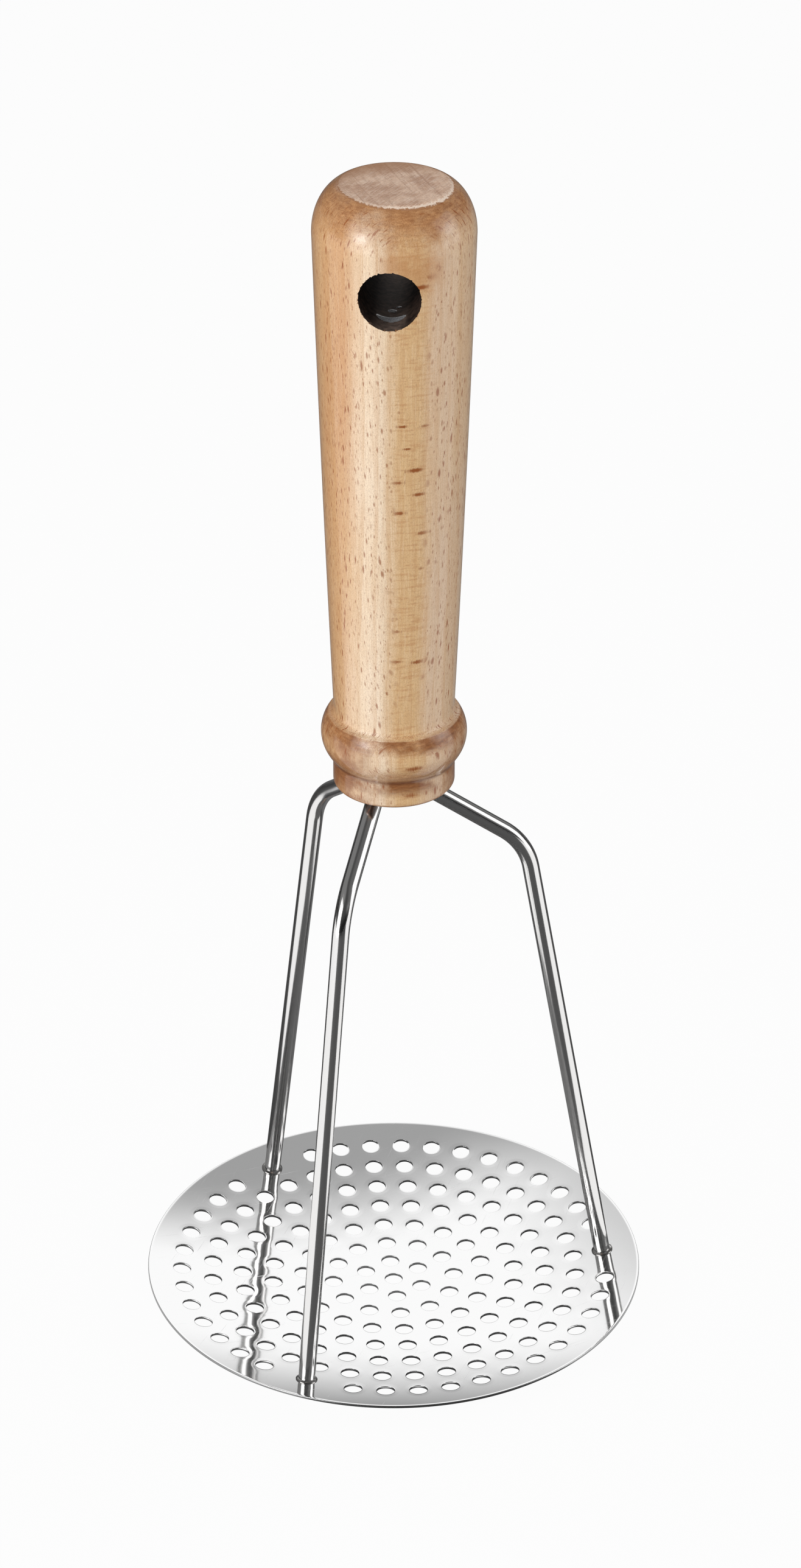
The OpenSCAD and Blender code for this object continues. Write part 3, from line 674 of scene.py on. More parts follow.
def new_tree(name, sizes):
    """Geometry Nodes tree with a mesh in and out. sizes gives each named input's socket type."""
    tree = bpy.data.node_groups.new(name, "GeometryNodeTree")
    tree.is_modifier = True
    tree.interface.new_socket("Mesh", in_out="OUTPUT", socket_type="NodeSocketGeometry")
    tree.interface.new_socket("Mesh", in_out="INPUT", socket_type="NodeSocketGeometry")
    for label, kind in sizes.items():
        tree.interface.new_socket(label, in_out="INPUT", socket_type=kind)
    return tree, put(tree, "NodeGroupInput").outputs


def run_tree(name, mesh, tree, values):
    """Plain mesh that the tree makes from a mesh and the values of its named inputs."""
    maker = bpy.data.objects.new(name, mesh)
    bpy.context.scene.collection.objects.link(maker)
    modifier = maker.modifiers.new(name, "NODES")
    modifier.node_group = tree
    for item in tree.interface.items_tree:
        if item.in_out == "INPUT" and item.name in values:
            modifier[item.identifier] = values[item.name]
    made = maker.evaluated_get(bpy.context.evaluated_depsgraph_get())
    result = bpy.data.meshes.new_from_object(made)
    result.name = name
    maker.modifiers.clear()
    bpy.data.objects.remove(maker)
    return result


def wire_tree(material):
    """Tree that sweeps a round wire along a line with corners, bends each corner and upsets the foot."""
    tree, given = new_tree("bent wire", {"Wire diameter": "NodeSocketFloat", "Upset diameter": "NodeSocketFloat",
                                         "Upset height": "NodeSocketFloat", "Neck": "NodeSocketFloat",
                                         "Faces round": "NodeSocketInt", "Faces per bend": "NodeSocketInt"})
    line = put(tree, "GeometryNodeMeshToCurve", {"Mesh": given["Mesh"]})
    radius = put(tree, "GeometryNodeInputNamedAttribute", {"Name": "bend_radius"}, data_type="FLOAT")
    bent = put(tree, "GeometryNodeFilletCurve", {"Curve": line.outputs[0], "Count": given["Faces per bend"],
                                                 "Radius": radius.outputs[0]}, mode="POLY")
    along = put(tree, "GeometryNodeSplineParameter").outputs["Length"]
    kept = put(tree, "GeometryNodeStoreNamedAttribute", {"Geometry": bent.outputs[0], "Name": "along", "Value": along})
    # Ring pressed out by the weld, then a slight neck above it
    share = put(tree, "ShaderNodeMath", {0: given["Upset diameter"], 1: given["Wire diameter"]}, operation="DIVIDE")
    most = put(tree, "ShaderNodeMath", {0: share.outputs[0], 1: 1.0}, operation="SUBTRACT")
    rise = put(tree, "ShaderNodeMath", {0: along, 1: given["Upset height"]}, operation="DIVIDE")
    ring = put(tree, "ShaderNodeMapRange", {"Value": rise.outputs[0], "From Min": 0.6, "From Max": 1.25,
                                            "To Min": most.outputs[0], "To Max": 0},
               interpolation_type="SMOOTHSTEP")
    neck = put(tree, "ShaderNodeMapRange", {"Value": rise.outputs[0], "From Min": 1.2, "From Max": 5,
                                            "To Min": given["Neck"], "To Max": 0}, interpolation_type="SMOOTHSTEP")
    girth = put(tree, "ShaderNodeMath", {0: ring.outputs[0], 1: neck.outputs[0]}, operation="SUBTRACT")
    scale = put(tree, "ShaderNodeMath", {0: girth.outputs[0], 1: 1.0}, operation="ADD")
    half = put(tree, "ShaderNodeMath", {0: given["Wire diameter"], 1: 0.5}, operation="MULTIPLY")
    section = put(tree, "GeometryNodeCurvePrimitiveCircle", {"Resolution": given["Faces round"],
                                                             "Radius": half.outputs[0]})
    outwards = put(tree, "ShaderNodeVectorMath", {0: put(tree, "GeometryNodeInputPosition").outputs[0]},
                   operation="NORMALIZE")
    marked = put(tree, "GeometryNodeStoreNamedAttribute",
                 {"Geometry": section.outputs[0], "Name": "side", "Value": outwards.outputs[0]},
                 data_type="FLOAT_VECTOR")
    wire = put(tree, "GeometryNodeCurveToMesh", {"Curve": kept.outputs[0], "Profile Curve": marked.outputs[0],
                                                 "Scale": scale.outputs[0], "Fill Caps": True})
    plain = put(tree, "GeometryNodeRealizeInstances", {"Geometry": wire.outputs[0]})
    dressed = put(tree, "GeometryNodeSetMaterial", {"Geometry": plain.outputs[0], "Material": material})
    put(tree, "NodeGroupOutput", {"Mesh": dressed.outputs[0]})
    return tree


def polar(radius, azimuth, height):
    """Point at a distance and an azimuth round the middle line."""
    return Vector((radius * math.cos(azimuth), radius * math.sin(azimuth), height))


def leg_line(sizes, foot_az, elbow_az):
    """Line of one leg from foot to tang, with close points at the foot and the bend radius at each corner."""
    foot = polar(sizes.foot_r, foot_az, sizes.foot_z)
    elbow = polar(sizes.elbow_r, elbow_az, sizes.elbow_z)
    corner = polar(sizes.tang_r, foot_az + sizes.bundle_turn, sizes.tang_z)
    end = polar(sizes.tang_r, foot_az + sizes.bundle_turn, sizes.tang_end)
    up = (elbow - foot).normalized()
    points = [foot + up * (step * 0.1 * MM) for step in range(22)] + [elbow, corner, end]
    mesh = bpy.data.meshes.new("leg line")
    mesh.from_pydata(points, [(i, i + 1) for i in range(len(points) - 1)], [])
    radii = [0.0] * 22 + [sizes.elbow_bend_r, sizes.tang_bend_r, 0.0]
    mesh.attributes.new("bend_radius", "FLOAT", "POINT").data.foreach_set("value", radii)
    return mesh


def dish_tree(material):
    """Tree that places the punched holes in rings, fills the sheet between them and presses it to a ball."""
    tree, given = new_tree("punched dish", {
        "Punched hole": "NodeSocketObject", "Holes and middle": "NodeSocketInt", "Ring step": "NodeSocketFloat",
        "Pattern direction": "NodeSocketFloat", "Foot radius": "NodeSocketFloat", "Foot clearance": "NodeSocketFloat",
        "Dimple radius": "NodeSocketFloat", "Faces round a hole": "NodeSocketInt", "Plate radius": "NodeSocketFloat",
        "Faces round the rim": "NodeSocketInt", "Sheet thickness": "NodeSocketFloat", "Ball radius": "NodeSocketFloat"})
    index = put(tree, "GeometryNodeInputIndex").outputs[0]
    # Ring k holds 6k holes, so the holes up to ring k number 3k(k+1)
    root = put(tree, "ShaderNodeMath", {0: put(
        tree, "ShaderNodeMath", {0: index, 1: 12, 2: 9}, operation="MULTIPLY_ADD").outputs[0]}, operation="SQRT")
    ring = put(tree, "ShaderNodeMath", {0: put(
        tree, "ShaderNodeMath", {0: root.outputs[0], 1: 1 / 6, 2: -0.5001}, operation="MULTIPLY_ADD").outputs[0]},
        operation="CEIL").outputs[0]
    before = put(tree, "ShaderNodeMath", {0: put(
        tree, "ShaderNodeMath", {0: ring, 1: 1}, operation="SUBTRACT").outputs[0], 1: ring}, operation="MULTIPLY")
    place = put(tree, "ShaderNodeMath", {0: before.outputs[0], 1: -3, 2: put(
        tree, "ShaderNodeMath", {0: index, 1: 1}, operation="SUBTRACT").outputs[0]}, operation="MULTIPLY_ADD")
    # Every second ring is turned by half of its own spacing
    odd = put(tree, "ShaderNodeMath", {0: ring, 1: 2}, operation="MODULO")
    step = put(tree, "ShaderNodeMath", {0: odd.outputs[0], 1: 0.5, 2: place.outputs[0]}, operation="MULTIPLY_ADD")
    spacing = put(tree, "ShaderNodeMath", {0: math.radians(60), 1: ring}, operation="DIVIDE")
    azimuth = put(tree, "ShaderNodeMath", {0: step.outputs[0], 1: spacing.outputs[0], 2: given["Pattern direction"]},
                  operation="MULTIPLY_ADD").outputs[0]
    radius = put(tree, "ShaderNodeMath", {0: ring, 1: given["Ring step"]}, operation="MULTIPLY").outputs[0]
    foot_az = put(tree, "ShaderNodeMath", {0: index, 1: math.radians(120), 2: given["Pattern direction"]},
                  operation="MULTIPLY_ADD").outputs[0]
    points = {}
    for name, count, distance, turn in (("holes", given["Holes and middle"], radius, azimuth),
                                        ("feet", 3, given["Foot radius"], foot_az)):
        ahead = put(tree, "ShaderNodeMath", {0: put(
            tree, "ShaderNodeMath", {0: turn}, operation="COSINE").outputs[0], 1: distance}, operation="MULTIPLY")
        aside = put(tree, "ShaderNodeMath", {0: put(
            tree, "ShaderNodeMath", {0: turn}, operation="SINE").outputs[0], 1: distance}, operation="MULTIPLY")
        spot = put(tree, "ShaderNodeCombineXYZ", {"X": ahead.outputs[0], "Y": aside.outputs[0]})
        points[name] = put(tree, "GeometryNodePoints", {"Count": count, "Position": spot.outputs[0]}).outputs[0]
    near = put(tree, "GeometryNodeProximity", {"Geometry": points["feet"]}, target_element="POINTS")
    spoilt = put(tree, "FunctionNodeCompare", {0: near.outputs["Distance"], 1: given["Foot clearance"]},
                 data_type="FLOAT", operation="LESS_THAN")
    holes = put(tree, "GeometryNodeDeleteGeometry", {"Geometry": points["holes"], "Selection": spoilt.outputs[0]})
    punched = put(tree, "GeometryNodeObjectInfo", {"Object": given["Punched hole"]})
    lips = put(tree, "GeometryNodeInstanceOnPoints", {"Points": holes.outputs[0],
                                                      "Instance": punched.outputs["Geometry"]})
    circle = put(tree, "GeometryNodeCurvePrimitiveCircle", {"Resolution": given["Faces round a hole"],
                                                            "Radius": given["Dimple radius"]})
    circles = put(tree, "GeometryNodeInstanceOnPoints", {"Points": holes.outputs[0], "Instance": circle.outputs[0]})
    loose = put(tree, "GeometryNodeRealizeInstances", {"Geometry": circles.outputs[0]})
    border = put(tree, "GeometryNodeCurvePrimitiveCircle", {"Resolution": given["Faces round the rim"],
                                                            "Radius": given["Plate radius"]})
    curves = put(tree, "GeometryNodeJoinGeometry", {0: loose.outputs[0]})
    tree.links.new(border.outputs[0], curves.inputs[0])
    web = put(tree, "GeometryNodeFillCurve", {"Curve": curves.outputs[0]}, mode="TRIANGLES")
    lift = put(tree, "ShaderNodeCombineXYZ", {"Z": given["Sheet thickness"]})
    upper = put(tree, "GeometryNodeSetPosition", {"Geometry": web.outputs[0], "Offset": lift.outputs[0]})
    under = put(tree, "GeometryNodeFlipFaces", {"Mesh": web.outputs[0]})
    whole = put(tree, "GeometryNodeJoinGeometry", {0: given["Mesh"]})
    for part in (lips, upper, under):
        tree.links.new(part.outputs[0], whole.inputs[0])
    flat = put(tree, "GeometryNodeMergeByDistance", {"Geometry": put(
        tree, "GeometryNodeRealizeInstances", {"Geometry": whole.outputs[0]}).outputs[0], "Distance": 0.004 * MM})
    smooth = put(tree, "GeometryNodeSetShadeSmooth", {"Geometry": flat.outputs[0], "Shade Smooth": True})
    # The flat sheet is laid on the ball: up turns to the way to the ball's centre
    spot = put(tree, "GeometryNodeInputPosition").outputs[0]
    flat_spot = put(tree, "ShaderNodeVectorMath", {0: spot, 1: (1, 1, 0)}, operation="MULTIPLY").outputs[0]
    thick = put(tree, "ShaderNodeSeparateXYZ", {"Vector": spot}).outputs[2]
    inverse = put(tree, "ShaderNodeMath", {0: -1.0, 1: given["Ball radius"]}, operation="DIVIDE")
    lean = put(tree, "ShaderNodeVectorMath", {0: flat_spot, "Scale": inverse.outputs[0]}, operation="SCALE").outputs[0]
    square = put(tree, "ShaderNodeVectorMath", {0: lean, 1: lean}, operation="DOT_PRODUCT").outputs["Value"]
    upright = put(tree, "ShaderNodeMath", {0: put(
        tree, "ShaderNodeMath", {0: 1.0, 1: square}, operation="SUBTRACT").outputs[0]}, operation="SQRT").outputs[0]
    inwards = put(tree, "ShaderNodeVectorMath", {0: lean, 1: put(
        tree, "ShaderNodeCombineXYZ", {"Z": upright}).outputs[0]}, operation="ADD").outputs[0]
    drop = put(tree, "ShaderNodeMath", {0: put(
        tree, "ShaderNodeMath", {0: 1.0, 1: upright}, operation="SUBTRACT").outputs[0], 1: given["Ball radius"]},
        operation="MULTIPLY")
    base = put(tree, "ShaderNodeVectorMath", {0: flat_spot, 1: put(
        tree, "ShaderNodeCombineXYZ", {"Z": drop.outputs[0]}).outputs[0]}, operation="ADD").outputs[0]
    away = put(tree, "ShaderNodeVectorMath", {0: inwards, "Scale": thick}, operation="SCALE").outputs[0]
    final = put(tree, "ShaderNodeVectorMath", {0: base, 1: away}, operation="ADD").outputs[0]
    turned = put(tree, "FunctionNodeAlignRotationToVector", {"Vector": inwards}, axis="Z")
    shading = put(tree, "FunctionNodeRotateVector", {"Vector": put(
        tree, "GeometryNodeInputNormal").outputs[0], "Rotation": turned.outputs[0]})
    marked = put(tree, "GeometryNodeStoreNamedAttribute", {"Geometry": smooth.outputs[0], "Name": "polish",
                                                           "Value": shading.outputs[0]}, data_type="FLOAT_VECTOR")
    pressed = put(tree, "GeometryNodeSetPosition", {"Geometry": marked.outputs[0], "Position": final})
    plain = put(tree, "GeometryNodeRealizeInstances", {"Geometry": pressed.outputs[0]})
    dressed = put(tree, "GeometryNodeSetMaterial", {"Geometry": plain.outputs[0], "Material": material})
    put(tree, "NodeGroupOutput", {"Mesh": dressed.outputs[0]})
    return tree


def punched_outline(sizes):
    """Outline of the sheet round one hole, flat, from the upper face through the hole to the lower face."""
    hole, lip, top = sizes.hole_d / 2, sizes.lip_r, sizes.sheet_t
    outer = sizes.patch_r
    points = []
    # The pull of the punch fades out towards the edge of the patch
    for share in (0, 0.12, 0.35, 0.6, 0.8, 1):
        radius = outer + (hole + lip - outer) * share
        points.append((radius, top - sizes.dimple * share ** 2 * (3 - 2 * share)))
    low = top - sizes.dimple
    for turn in (30, 60, 90):
        a = math.radians(turn)
        points.append((hole + lip - lip * math.sin(a), low - lip + lip * math.cos(a)))
    points += [(hole, 0.05 * MM), (hole + 0.05 * MM, 0), (outer, 0)]
    return points


def rim_outline(sizes, inner):
    """Outline of the sheet's rim, flat, from the lower face round the edge to the upper face."""
    outer, top, soft = sizes.disc_d / 2, sizes.sheet_t, 0.12 * MM
    points = [(inner, 0)]
    for centre_z, first in ((soft, -90), (top - soft, 0)):
        for turn in (0, 30, 60, 90):
            a = math.radians(first + turn)
            points.append((outer - soft + soft * math.cos(a), centre_z + soft * math.sin(a)))
    return points + [(inner, top)]


class MASHER_OT_turn_handle(bpy.types.Operator):
    """Turn the beech handle, drill its socket and hang hole, and lacquer it"""
    bl_idname = "masher.turn_handle"
    bl_label = "Turn handle"

    def execute(self, context):
        sizes = context.scene.masher_handle
        runs = handle_runs(sizes)
        soft, groove = sizes.corner_soft, sizes.groove_soft
        outline = joined(list(runs.values()), (soft, soft, soft, groove * 0.6, groove, soft))
        blank = bpy.data.objects.new("turned blank", lathe("turned blank", outline, 224))
        cutter = bpy.data.objects.new("hang hole cutter", hole_cutter(sizes))
        for helper in (blank, cutter):
            context.scene.collection.objects.link(helper)
        cut = blank.modifiers.new("hang hole", "BOOLEAN")
        cut.object, cut.operation, cut.solver = cutter, "DIFFERENCE", "EXACT"
        made = blank.evaluated_get(context.evaluated_depsgraph_get())
        mesh = bpy.data.meshes.new_from_object(made)
        bpy.data.objects.remove(blank)
        bpy.data.objects.remove(cutter)
        if len(mesh.polygons) < 1000:
            raise RuntimeError("the hang hole could not be cut")
        mesh.name = "beech_handle"
        mesh.materials.clear()
        for material in (lacquered_beech(sizes, "beech_turned_lacquered", 0.14, 0.4), sawn_beech(sizes),
                         drilled_beech(sizes), run_lacquer(sizes),
                         lacquered_beech(sizes, "beech_pooled_lacquer", 0.06, 0.08)):
            mesh.materials.append(material)
        self.finish_faces(mesh, sizes, runs["bead"][-1])
        # Only the corner between the bead and the collar gets the painted shade
        self.mark_lacquer_and_shade_creases(mesh, [runs["bead"][0]])
        mesh.shade_smooth()
        mesh.set_sharp_from_angle(angle=math.radians(38))
        hand_over("beech_handle", mesh, "handle")
        return {"FINISHED"}

    def finish_faces(self, mesh, sizes, groove):
        """Gives the top face its sawn end grain, the bores their drilled wood and the groove its pooled lacquer."""
        middle = Vector((0, 0, HANDLE_HIGH - sizes.hang_drop))
        along = Vector((math.cos(sizes.hang_az), math.sin(sizes.hang_az), 0))
        for face in mesh.polygons:
            centre, normal = face.center, face.normal
            from_axis = (centre - middle) - along * (centre - middle).dot(along)
            in_hole = from_axis.length < sizes.hang_d / 2 + 2 * sizes.hang_chips
            if in_hole and normal.dot(from_axis.normalized()) < -0.3:
                chipped = from_axis.length > sizes.hang_d / 2 + 0.07 * MM
                ridged = from_axis.length < sizes.hang_d / 2 - 0.045 * MM and centre.dot(along) > 0
                face.material_index = 1 if chipped else 3 if ridged else 2
            elif math.hypot(centre.x, centre.y) < sizes.mouth_d / 2 and centre.z < HANDLE_HIGH - 20 * MM \
                    and not in_hole:
                face.material_index = 1
            elif centre.z > HANDLE_HIGH - 0.8 * MM:
                # The face was sanded past its corner at the front right
                radius = math.hypot(centre.x, centre.y)
                past = 1.1 * MM * max(0, 0.6 * centre.x - 0.8 * centre.y) / max(radius, MM)
                face.material_index = 1 if radius < sizes.top_d / 2 + 0.2 * MM + past else 0
            elif (Vector((math.hypot(centre.x, centre.y), centre.z)) - groove).length < 1.3 * MM:
                face.material_index = 4
            else:
                face.material_index = 0

    def mark_lacquer_and_shade_creases(self, mesh, corners):
        """Marks how close each point lies to a turned corner, where lacquer gathers and where shade is painted."""
        spots = np.empty(len(mesh.vertices) * 3)
        mesh.vertices.foreach_get("co", spots)
        spots = spots.reshape(-1, 3)
        radius = np.hypot(spots[:, 0], spots[:, 1])
        lacquer_and_shade_crease = np.zeros(len(spots))
        for corner in corners:
            gap = np.hypot(radius - corner[0], spots[:, 2] - corner[1])
            lacquer_and_shade_crease = np.maximum(lacquer_and_shade_crease, 0.55 * np.exp(-(gap / (0.6 * MM)) ** 2))
        mesh.attributes.new("lacquer_and_shade_crease", "FLOAT", "POINT").data.foreach_set("value", lacquer_and_shade_crease)


class MASHER_OT_bend_legs(bpy.types.Operator):
    """Bend the three wire legs and upset their welded feet"""
    bl_idname = "masher.bend_legs"
    bl_label = "Bend legs"

    def execute(self, context):
        sizes, dish = context.scene.masher_wire, context.scene.masher_dish
        tree = wire_tree(drawn_wire(sizes))
        # Each elbow was bent a little out of line with its foot
        for i, (node, swing) in enumerate((("right_leg", -1.7), ("left_leg", -0.6), ("front_leg", 1.3))):
            foot_az = dish.pattern_az + math.radians(120 * i)
            line = leg_line(sizes, foot_az, foot_az + math.radians(swing))
            mesh = run_tree("wire_" + node, line, tree, {
                "Wire diameter": sizes.wire_d, "Upset diameter": sizes.upset_d, "Upset height": sizes.upset_h,
                "Neck": 0.03, "Faces round": 64, "Faces per bend": 28})
            if not mesh.polygons:
                raise RuntimeError("the wire of " + node + " came out empty")
            mesh.shade_smooth()
            mesh.set_sharp_from_angle(angle=math.radians(50))
            hand_over("wire_" + node, mesh, node)
        return {"FINISHED"}


class MASHER_OT_press_dish(bpy.types.Operator):
    """Punch the rings of holes and press the sheet to a dish"""
    bl_idname = "masher.press_dish"
    bl_label = "Press dish"

    def execute(self, context):
        sizes, wire = context.scene.masher_dish, context.scene.masher_wire
        plate_r = sizes.disc_d / 2 - 0.6 * MM
        around_hole, around_rim = 28, 360
        hole = bpy.data.objects.new("punched hole", lathe("punched hole", punched_outline(sizes), around_hole))
        context.scene.collection.objects.link(hole)
        rim = lathe("rim", rim_outline(sizes, plate_r), around_rim)
        mesh = run_tree("pierced_dish", rim, dish_tree(pressed_sheet(sizes)), {
            "Punched hole": hole, "Holes and middle": 1 + 3 * sizes.ring_count * (sizes.ring_count + 1),
            "Ring step": sizes.ring_step, "Pattern direction": sizes.pattern_az, "Foot radius": wire.foot_r,
            "Foot clearance": sizes.keep_out, "Dimple radius": sizes.patch_r, "Faces round a hole": around_hole,
            "Plate radius": plate_r, "Faces round the rim": around_rim, "Sheet thickness": sizes.sheet_t,
            "Ball radius": sizes.ball_r})
        bpy.data.objects.remove(hole)
        if not mesh.polygons:
            raise RuntimeError("the dish came out empty")
        # The polish follows the ball, and not the flat faces that the sheet is made of
        normals = np.empty(len(mesh.vertices) * 3, np.float32)
        mesh.attributes["polish"].data.foreach_get("vector", normals)
        mesh.normals_split_custom_set_from_vertices(normals.reshape(-1, 3))
        mesh.attributes.remove(mesh.attributes["polish"])
        hand_over("pierced_dish", mesh, "disc")
        return {"FINISHED"}


def seen_rays(tree):
    """Output that is one for rays from the camera and for what metal or glass shows."""
    path = put(tree, "ShaderNodeLightPath")
    first = put(tree, "ShaderNodeMath", {0: path.outputs["Is Camera Ray"], 1: path.outputs["Is Glossy Ray"]},
                operation="MAXIMUM")
    both = put(tree, "ShaderNodeMath", {0: first.outputs[0], 1: path.outputs["Is Transmission Ray"]},
               operation="MAXIMUM")
    return both.outputs[0], path


def paper_floor():
    """White background paper, lit evenly: it looks white and keeps a faint shadow."""
    material = bpy.data.materials.new("paper_white")
    material.use_nodes = True
    tree = material.node_tree
    tree.nodes.clear()
    shows, path = seen_rays(tree)
    share = put(tree, "ShaderNodeMath", {0: shows, 1: 0.96}, operation="MULTIPLY")
    paper = put(tree, "ShaderNodeBsdfDiffuse", {"Color": opaque(linear("B4B4B4"))})
    glow = put(tree, "ShaderNodeEmission", {"Color": (1, 1, 1, 1), "Strength": 1})
    mixed = put(tree, "ShaderNodeMixShader", {0: share.outputs[0], 1: paper.outputs[0], 2: glow.outputs[0]})
    put(tree, "ShaderNodeOutputMaterial", {"Surface": mixed.outputs[0]})
    return material


def floor_card(name, first, last, inner, outer, height, tone):
    """Dark card on the floor that only reflections show, between two azimuths in degrees, at a height in mm."""
    steps = 24 if last - first < 180 else 120
    points, faces = [], []
    for i in range(steps + 1):
        azimuth = math.radians(first + (last - first) * i / steps)
        points += [polar(inner, azimuth, height * MM), polar(outer, azimuth, height * MM)]
    for i in range(steps):
        faces.append((2 * i, 2 * i + 1, 2 * i + 3, 2 * i + 2))
    mesh = bpy.data.meshes.new(name)
    mesh.from_pydata(points, [], faces)
    material, tree, shader = new_material(name)
    shader.inputs["Base Color"].default_value = opaque(linear(tone))
    shader.inputs["Roughness"].default_value = 0.9
    mesh.materials.append(material)
    card = bpy.data.objects.new(name, mesh)
    bpy.context.scene.collection.objects.link(card)
    card.visible_camera = card.visible_diffuse = card.visible_shadow = card.visible_transmission = False


def soft_light(name, azimuth, elevation, width, height, brightness):
    """Soft box one metre from the middle of the object, of the given radiance."""
    lamp = bpy.data.lights.new(name, "AREA")
    lamp.shape, lamp.size, lamp.size_y = "RECTANGLE", width, height
    lamp.energy = brightness * math.pi * width * height
    box = bpy.data.objects.new(name, lamp)
    bpy.context.scene.collection.objects.link(box)
    a, e = math.radians(azimuth), math.radians(elevation)
    way = Vector((math.cos(a) * math.cos(e), math.sin(a) * math.cos(e), math.sin(e)))
    box.location = way + Vector((0, 0, 0.14))
    box.rotation_euler = way.to_track_quat("Z", "Y").to_euler()
    box.visible_camera = False


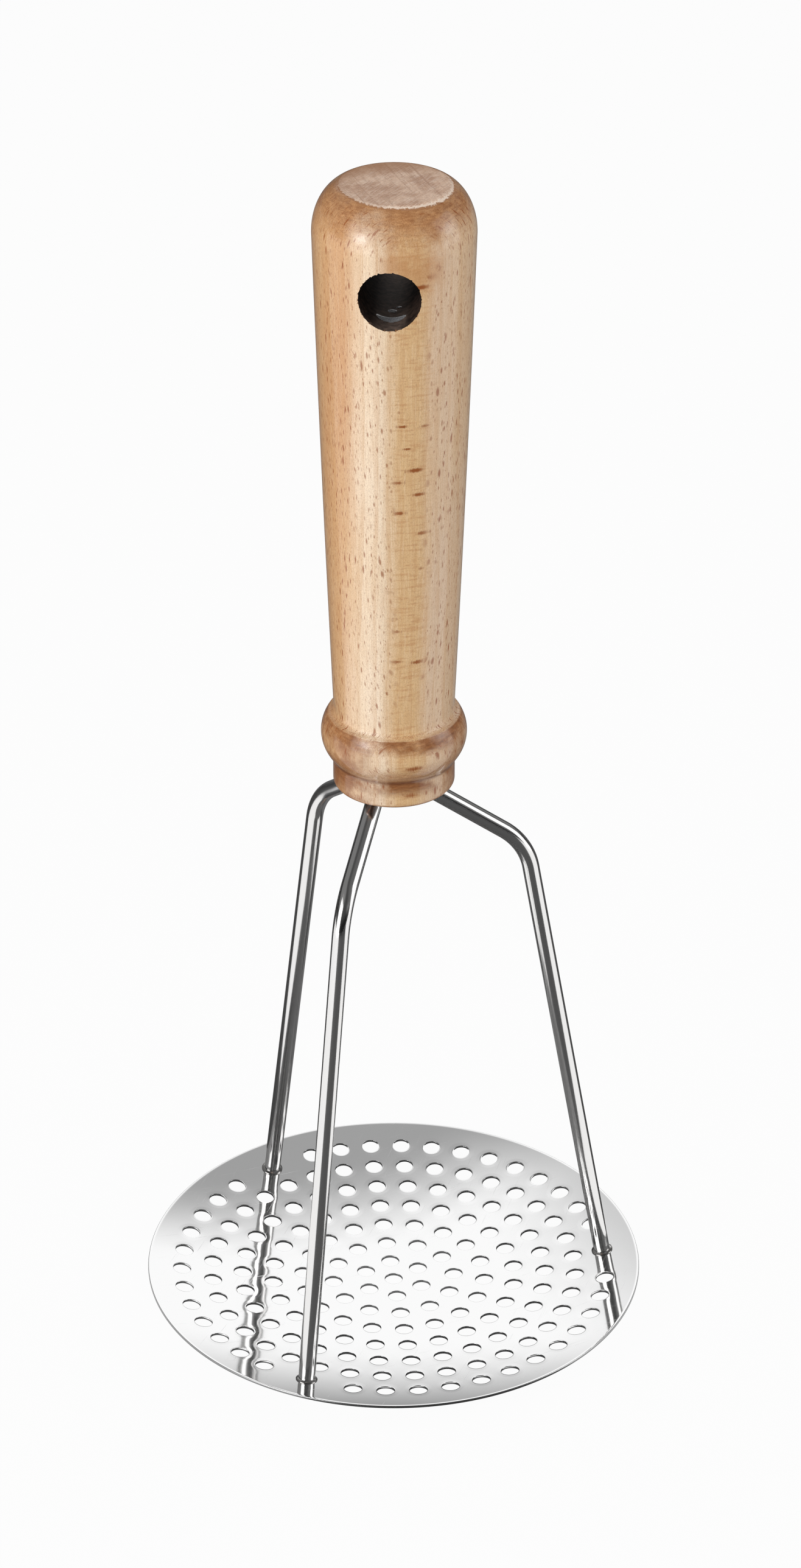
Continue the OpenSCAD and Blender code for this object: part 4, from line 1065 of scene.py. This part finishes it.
class MASHER_OT_set_stage(bpy.types.Operator):
    """Set up the paper floor, the soft lights, the room and the camera"""
    bl_idname = "masher.set_stage"
    bl_label = "Set stage"

    def execute(self, context):
        scene, studio = context.scene, context.scene.masher_studio
        scene.view_settings.view_transform = "Standard"
        mesh = bpy.data.meshes.new("floor")
        wide = 6
        mesh.from_pydata([(-wide, -wide, 0), (wide, -wide, 0), (wide, wide, 0), (-wide, wide, 0)], [], [(0, 1, 2, 3)])
        mesh.transform(Matrix.Translation((0, 0, -0.05 * MM)))
        mesh.materials.append(paper_floor())
        floor = bpy.data.objects.new("floor", mesh)
        scene.collection.objects.link(floor)
        floor_card("card_front", -114, -40, 0.058, 5.9, 0.4, "484848")
        floor_card("card_back_left", 122, 167, 0.058, 5.9, 0.4, "3A3A3A")
        floor_card("card_back", 50, 122, 0.058, 5.9, 0.4, "6E6E6E")
        floor_card("card_back_right", 12, 50, 0.058, 5.9, 0.4, "3C3C3C")
        # The dish shades the paper beneath it, which its holes' walls reflect
        floor_card("card_under_dish", 0, 360, 0, 0.054, -0.02, "6A6A6A")
        # Each soft box has a brighter middle
        soft_light("light_left", -138, 16, 0.74, 0.82, studio.window * 0.5)
        soft_light("light_left_middle", -138, 16, 0.26, 0.26, studio.window * 6.5)
        soft_light("light_right", -6, 18, 0.62, 0.84, studio.fill * 0.5)
        soft_light("light_right_middle", -6, 18, 0.24, 0.26, studio.fill * 6)
        self.light_room(scene, studio)
        self.place_camera(scene)
        return {"FINISHED"}

    def light_room(self, scene, studio):
        """Even light all round. Metal shows a white wall behind, a grey ceiling and a dark room in front."""
        world = bpy.data.worlds.new("studio room")
        world.use_nodes = True
        tree = world.node_tree
        tree.nodes.clear()
        shows, path = seen_rays(tree)
        way = put(tree, "ShaderNodeSeparateXYZ", {"Vector": put(tree, "ShaderNodeTexCoord").outputs["Generated"]})
        level = put(tree, "ShaderNodeCombineXYZ", {"X": way.outputs[0], "Y": way.outputs[1]})
        ahead = put(tree, "ShaderNodeVectorMath", {0: level.outputs[0]}, operation="NORMALIZE")
        compass = put(tree, "ShaderNodeSeparateXYZ", {"Vector": ahead.outputs[0]})
        rising = put(tree, "ShaderNodeMath", {0: way.outputs[2], 1: 0.45, 2: compass.outputs[1]},
                     operation="MULTIPLY_ADD")
        # The white wall's upper edge falls to the right
        leaning = put(tree, "ShaderNodeMath", {0: way.outputs[0], 1: 0.5, 2: way.outputs[2]}, operation="MULTIPLY_ADD")
        # Each band runs between two elevations or directions, and gives the brightness at either
        wall = None
        for value, start, end, first, last in (
                (way.outputs[2], math.sin(math.radians(8)), math.sin(math.radians(25)), 0.1, 1),
                (leaning.outputs[0], math.sin(math.radians(40)), math.sin(math.radians(54)), 1, 0.36),
                (compass.outputs[0], -0.1, -0.28, 1, 0.6),
                (compass.outputs[1], 0.97, 0.86, 1, 0.32),
                (rising.outputs[0], -0.45, -0.75, 1, 0.15)):
            band = put(tree, "ShaderNodeMapRange", {"Value": value, "From Min": start, "From Max": end,
                                                    "To Min": first, "To Max": last},
                       interpolation_type="SMOOTHSTEP").outputs[0]
            wall = band if wall is None else put(
                tree, "ShaderNodeMath", {0: wall, 1: band}, operation="MULTIPLY").outputs[0]
        mirrored = put(tree, "ShaderNodeMix", {0: path.outputs["Is Glossy Ray"], 2: 1.0, 3: wall}, data_type="FLOAT")
        even = put(tree, "ShaderNodeBackground", {"Color": opaque(linear("FBFBFC")), "Strength": studio.room})
        seen = put(tree, "ShaderNodeBackground", {"Color": (1, 1, 1, 1), "Strength": mirrored.outputs[0]})
        mixed = put(tree, "ShaderNodeMixShader", {0: shows, 1: even.outputs[0], 2: seen.outputs[0]})
        put(tree, "ShaderNodeOutputWorld", {"Surface": mixed.outputs[0]})
        scene.world = world

    def place_camera(self, scene):
        """Long lens that looks down at the masher, as the photograph was taken."""
        lens = bpy.data.cameras.new("camera")
        lens.lens, lens.sensor_width, lens.sensor_fit = 111.216, 36, "AUTO"
        lens.clip_start, lens.clip_end = 0.05, 30
        camera = bpy.data.objects.new("camera", lens)
        scene.collection.objects.link(camera)
        down, roll = math.radians(29.521), math.radians(0.079)
        turn = Matrix.Rotation(math.pi / 2 - down, 4, "X") @ Matrix.Rotation(roll, 4, "Z")
        camera.matrix_world = Matrix.Translation((1.4276 * MM, -920.785 * MM, 653.764 * MM)) @ turn
        scene.camera = camera


class MASHER_PT_sidebar(bpy.types.Panel):
    """Lists the masher's sizes and the steps that build it"""
    bl_idname = "MASHER_PT_sidebar"
    bl_label = "Potato masher"
    bl_space_type = "VIEW_3D"
    bl_region_type = "UI"
    bl_category = "Masher"

    def draw(self, context):
        scene, layout = context.scene, self.layout
        steps = (("masher.turn_handle", scene.masher_handle), ("masher.bend_legs", scene.masher_wire),
                 ("masher.press_dish", scene.masher_dish), ("masher.set_stage", scene.masher_studio))
        for operator, sizes in steps:
            column = layout.box().column()
            for name in type(sizes).__annotations__:
                column.prop(sizes, name)
            column.operator(operator)


CLASSES = (HandleSizes, WireSizes, DishSizes, StudioSettings, MASHER_OT_turn_handle, MASHER_OT_bend_legs,
           MASHER_OT_press_dish, MASHER_OT_set_stage, MASHER_PT_sidebar)
GROUPS = {"masher_handle": HandleSizes, "masher_wire": WireSizes, "masher_dish": DishSizes,
          "masher_studio": StudioSettings}


def register():
    for made in CLASSES:
        bpy.utils.register_class(made)
    for name, group in GROUPS.items():
        setattr(bpy.types.Scene, name, PointerProperty(type=group))


def unregister():
    for name in GROUPS:
        delattr(bpy.types.Scene, name)
    for made in reversed(CLASSES):
        bpy.utils.unregister_class(made)


def main():
    """Builds the masher and its stage."""
    register()
    bpy.ops.masher.set_stage()
    bpy.ops.masher.turn_handle()
    bpy.ops.masher.bend_legs()
    bpy.ops.masher.press_dish()


if __name__ == "__main__":
    main()
